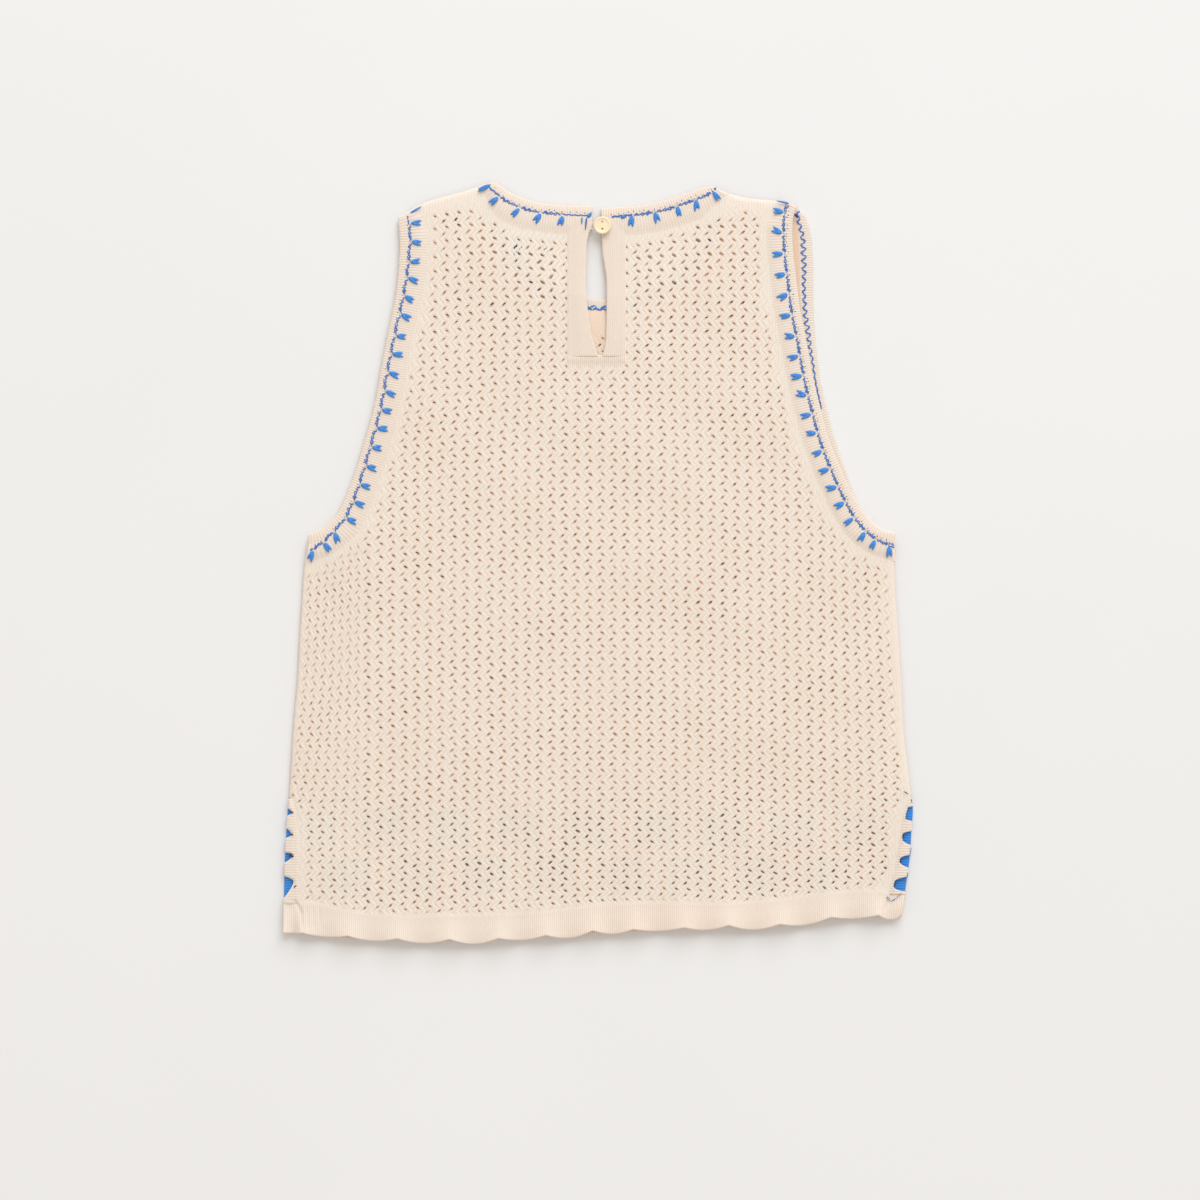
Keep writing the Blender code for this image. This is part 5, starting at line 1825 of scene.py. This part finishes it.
        self.sew("yarn_knot_beneath", dark, self.straight(self.knot, self.top_beneath))
        for side in ("left", "right"):
            band = arm[f"{side}_front"]
            run = run_along(band.inner()) / MM
            out = 2.3 * MM * eased((168.0 - run) / 45.0)
            line = band.inner() - (out + 0.2 * MM)[:, None] * band.across
            reach = 1.2 * MM * (0.12 + 0.88 * eased((run - 112.0) / 34.0))
            wave = self.zigzag(line, band.across, reach, 4.7 * MM, 95.0 * MM)
            self.sew(f"zigzag_armhole_{side}", line_blue, wave)
        scoop = LIE.scoop(LIE.scoop_band, 200)
        out = LIE.out_of_scoop(scoop)
        self.sew("zigzag_neck", blue, self.zigzag(scoop, out, 1.1 * MM, 6.2 * MM))
        beside = self.zigzag(scoop + 0.9 * MM * out, out, 0.6 * MM, 4.3 * MM)
        self.sew("zigzag_neck_dark", line_blue, beside)


@dataclass
class ButtonSet:
    """The two-hole button, the thread that holds it and the loop of yarn that it fastens."""

    finishes: Materials
    middle: Pair = (2.4 * MM, 201.8 * MM)
    radius: float = 5.3 * MM
    thickness: float = 2.4 * MM
    hole_radius: float = 0.62 * MM
    hole_offset: float = 2.1 * MM
    yarn_radius: float = 0.5 * MM
    facing_wall: float = 1.8 * MM
    # The gap beneath the loop's yarn, and the gaps beneath and above it together.
    clear_below: float = 0.3 * MM
    clear_both: float = 0.6 * MM
    loop_left: float = -7.0 * MM
    # The loop's two strands: their radius, how far they wind sideways and upwards, and the way to a turn.
    ply_radius: float = 0.3 * MM
    ply_swing: Pair = (0.24 * MM, 0.22 * MM)
    ply_turn: float = 2.2 * MM
    # Where the loop dives under the facing, and how deep.
    dive_from: float = -1.6 * MM
    dive_depth: float = 1.4 * MM
    sides: int = 72

    # The button's profile, turned about its axis, as shares of its radius and thickness: radius, height.
    profile: Table = (
        (0, 0.80), (0.3, 0.80), (0.5, 0.81), (0.62, 0.83), (0.72, 0.89), (0.8, 0.97), (0.88, 1),
        (0.95, 0.93), (0.99, 0.76), (1, 0.58), (0.985, 0.38), (0.93, 0.16), (0.84, 0.03), (0.7, 0),
        (0.35, 0), (0, 0),
    )
    # The profiles of the holes, as shares of their radius and in millimetres, and of the thread's post.
    bore: Table = ((0.0, 6.0), (0.9, 6.0), (1.0, 5.9), (1.0, -1.9), (0.9, -2.0), (0.0, -2.0))
    post: Table = ((0.0, 0.3), (0.75, 0.3), (0.9, 0.45), (0.9, 1.15), (0.75, 1.3), (0.0, 1.3))

    @property
    def top_of_facing(self) -> float:
        """The height of the facing's top under the button."""
        x, y = (np.array([value]) for value in self.middle)
        return float(LIE.back(x, y)[0]) + self.facing_wall

    @property
    def low(self) -> float:
        """The height of the button's underside."""
        return self.top_of_facing + 2 * self.yarn_radius + self.clear_both

    def turned(self, profile: Array, middle: Pair, sides: int) -> Shape:
        """A turned solid: each point of the profile carried round the axis, poles closed by thin fans."""
        angle = TURN * np.arange(sides + 1) / sides
        radius = np.maximum(profile[:, 0], 0.0)
        xy = np.array(middle) + radius[:, None, None] * directions(angle)[None]
        z = np.broadcast_to(profile[:, 1:], xy.shape[:2])
        weave = np.stack(np.broadcast_arrays(angle[None] * 2, profile[:, :1] / MM), axis=-1)
        return Shape.from_grid(lifted(xy, z), weave, np.zeros(z.shape), flipped=True)

    def button(self) -> None:
        """The button, with its two holes cut through."""
        rows = tuple(map(tuple, np.array(self.profile) / MM))
        fine = smooth(rows, even(39)) * [self.radius, self.thickness] + [0.0, self.low]
        button = self.turned(fine, self.middle, self.sides)
        made = button.build("button", self.finishes.button, "button", "button")
        bore = np.array(self.bore) * [self.hole_radius, MM] + [0.0, self.low]
        for sign in (-1, 1):
            place = (self.middle[0], self.middle[1] + sign * self.hole_offset)
            cutter = self.turned(bore, place, 20).build("bore", self.finishes.button, "button")
            for piece in (made, cutter):
                self.weld(piece)
            cut = made.modifiers.new("hole", "BOOLEAN")
            cut.operation = "DIFFERENCE"
            cut.object = cutter
            self.settle(made)
            bpy.data.objects.remove(cutter, do_unlink=True)
        made.data.name = "button"
        made.data.set_sharp_from_angle(angle=math.radians(50))

    @staticmethod
    def settle(piece: bpy.types.Object) -> None:
        """Takes a piece's modifiers into its mesh."""
        evaluated = piece.evaluated_get(bpy.context.evaluated_depsgraph_get())
        settled = bpy.data.meshes.new_from_object(evaluated)
        piece.modifiers.clear()
        piece.data = settled

    def weld(self, piece: bpy.types.Object) -> None:
        """Closes a turned piece's seam and poles."""
        weld = piece.modifiers.new("weld", "WELD")
        weld.merge_threshold = 0.01 * MM
        self.settle(piece)

    def thread(self) -> None:
        """The sewing thread: a short post under the button, and two stitches between its holes."""
        x, y = self.middle
        profile = np.array(self.post) * MM + [0.0, self.top_of_facing]
        t = even(8)
        reach = self.hole_offset * (2 * t - 1)
        top = self.low + 0.80 * self.thickness
        paths = []
        for side in (-0.17 * MM, 0.17 * MM):
            lift = top - 0.08 * MM - 1.4 * MM * np.abs(2 * t - 1) ** 8
            paths.append(abreast(np.full_like(t, x + side), y + reach, lift))
        strands = yarns(np.array(paths), np.full((2, len(t)), 0.12 * MM), flatness=0.6, twist=0.8 * MM)
        whole = Shape.joined([self.turned(profile, self.middle, 16), strands])
        made = whole.build("button_thread", self.finishes.cream_yarn, "thread", "button_shank")
        self.weld(made)

    def loop(self) -> None:
        """The loop of two-ply yarn round the post: two strands wound about one route."""
        x, y = self.middle
        reach = self.post[2][0] * MM + self.clear_below + self.yarn_radius
        turn = np.linspace(-math.pi / 2, math.pi / 2, 24)
        bend = np.array(self.middle) + reach * directions(turn)
        straight = np.linspace(self.loop_left, x, 24)[:-1]
        lower = abreast(straight, np.full_like(straight, y - reach))
        upper = abreast(straight[::-1], np.full_like(straight, y + reach))
        route = np.concatenate([lower, bend, upper])
        run = run_along(route)
        run_fine = np.linspace(0.0, run[-1], 90)
        route = read_line(route, run, run_fine)
        sideways = -left_of(unit(np.gradient(route, axis=0)))
        dive = eased((self.dive_from - route[:, 0]) / (2.0 * MM))
        centre = self.top_of_facing + self.clear_below + self.yarn_radius - self.dive_depth * dive
        paths = []
        for start in (0.0, math.pi):
            wind = TURN * run_fine / self.ply_turn + start
            place = route + self.ply_swing[0] * np.cos(wind)[:, None] * sideways
            paths.append(lifted(place, centre + self.ply_swing[1] * np.sin(wind)))
        radii = np.full((2, len(run_fine)), self.ply_radius)
        strands = yarns(np.array(paths), radii, flatness=1.0, twist=1.2 * MM)
        strands.build("button_loop_yarn", self.finishes.cream_yarn, "thread", "button_loop")

    def dress(self) -> None:
        """Builds the button, its thread and its loop."""
        self.button()
        self.thread()
        self.loop()


@dataclass
class Studio:
    """The pale surface, the soft light from above the neck and the camera straight above."""

    camera_place: tuple[float, float, float] = (1.02 * MM, -22.2 * MM, 1700 * MM)
    lens: float = 85.0
    key_place: tuple[float, float, float] = (1.5, 5.0, 3.8)
    key_size: float = 5.0
    key_watts: float = 325.0
    key_colour: tuple[float, float, float] = (0.95, 1.0, 1.05)
    sky_strength: float = 0.76
    sky_colour: Colour = (1.0, 0.92, 0.83, 1.0)
    floor_size: float = 8.0
    floor_below: float = 0.05 * MM

    def floor(self) -> None:
        """A wide plane just below the garment."""
        half = self.floor_size / 2
        edge = np.linspace(-half, half, 9)
        x, y = np.meshgrid(edge, edge)
        points = abreast(x, y, np.full_like(x, -self.floor_below))
        grid = Shape.from_grid(points, points[..., :2], np.zeros_like(x))
        mesh = bpy.data.meshes.new("surface")
        mesh.from_pydata(grid.points.tolist(), [], grid.faces.tolist())
        mesh.materials.append(FloorFinish().material())
        placed("surface", mesh)

    def lights(self) -> None:
        """A large soft key light, and a warm even sky."""
        lamp = bpy.data.lights.new("key", "AREA")
        lamp.shape = "SQUARE"
        lamp.size = self.key_size
        lamp.energy = self.key_watts
        lamp.color = self.key_colour
        key = placed("key", lamp)
        key.location = self.key_place
        aim = -np.array(self.key_place)
        key.rotation_euler = (
            math.atan2(math.hypot(aim[0], aim[1]), -aim[2]), 0.0, math.atan2(aim[1], aim[0]) - math.pi / 2
        )
        world = bpy.data.worlds.new("studio")
        world.use_nodes = True
        sky = world.node_tree.nodes["Background"]
        sky.inputs["Color"].default_value = self.sky_colour
        sky.inputs["Strength"].default_value = self.sky_strength
        bpy.context.scene.world = world

    def camera(self) -> None:
        """The camera, looking straight down."""
        lens = bpy.data.cameras.new("camera")
        lens.lens = self.lens
        lens.sensor_width = 36.0
        made = placed("camera", lens)
        made.location = self.camera_place
        bpy.context.scene.camera = made
        bpy.context.scene.view_settings.view_transform = "Standard"

    def dress(self) -> None:
        """Sets up the floor, the lights and the camera."""
        self.camera()
        self.floor()
        self.lights()


def main() -> None:
    """Builds the studio and every sub-assembly in order."""
    logging.basicConfig(level=logging.INFO, format="%(message)s")
    finishes = Materials()
    kinds = (Bands, Panels, VentEdgings, Embroidery, ButtonSet)
    for assembly in (Studio(), *(kind(finishes) for kind in kinds)):
        assembly.dress()
        LOG.info("%s is dressed", type(assembly).__name__)


if __name__ == "__main__":
    main()
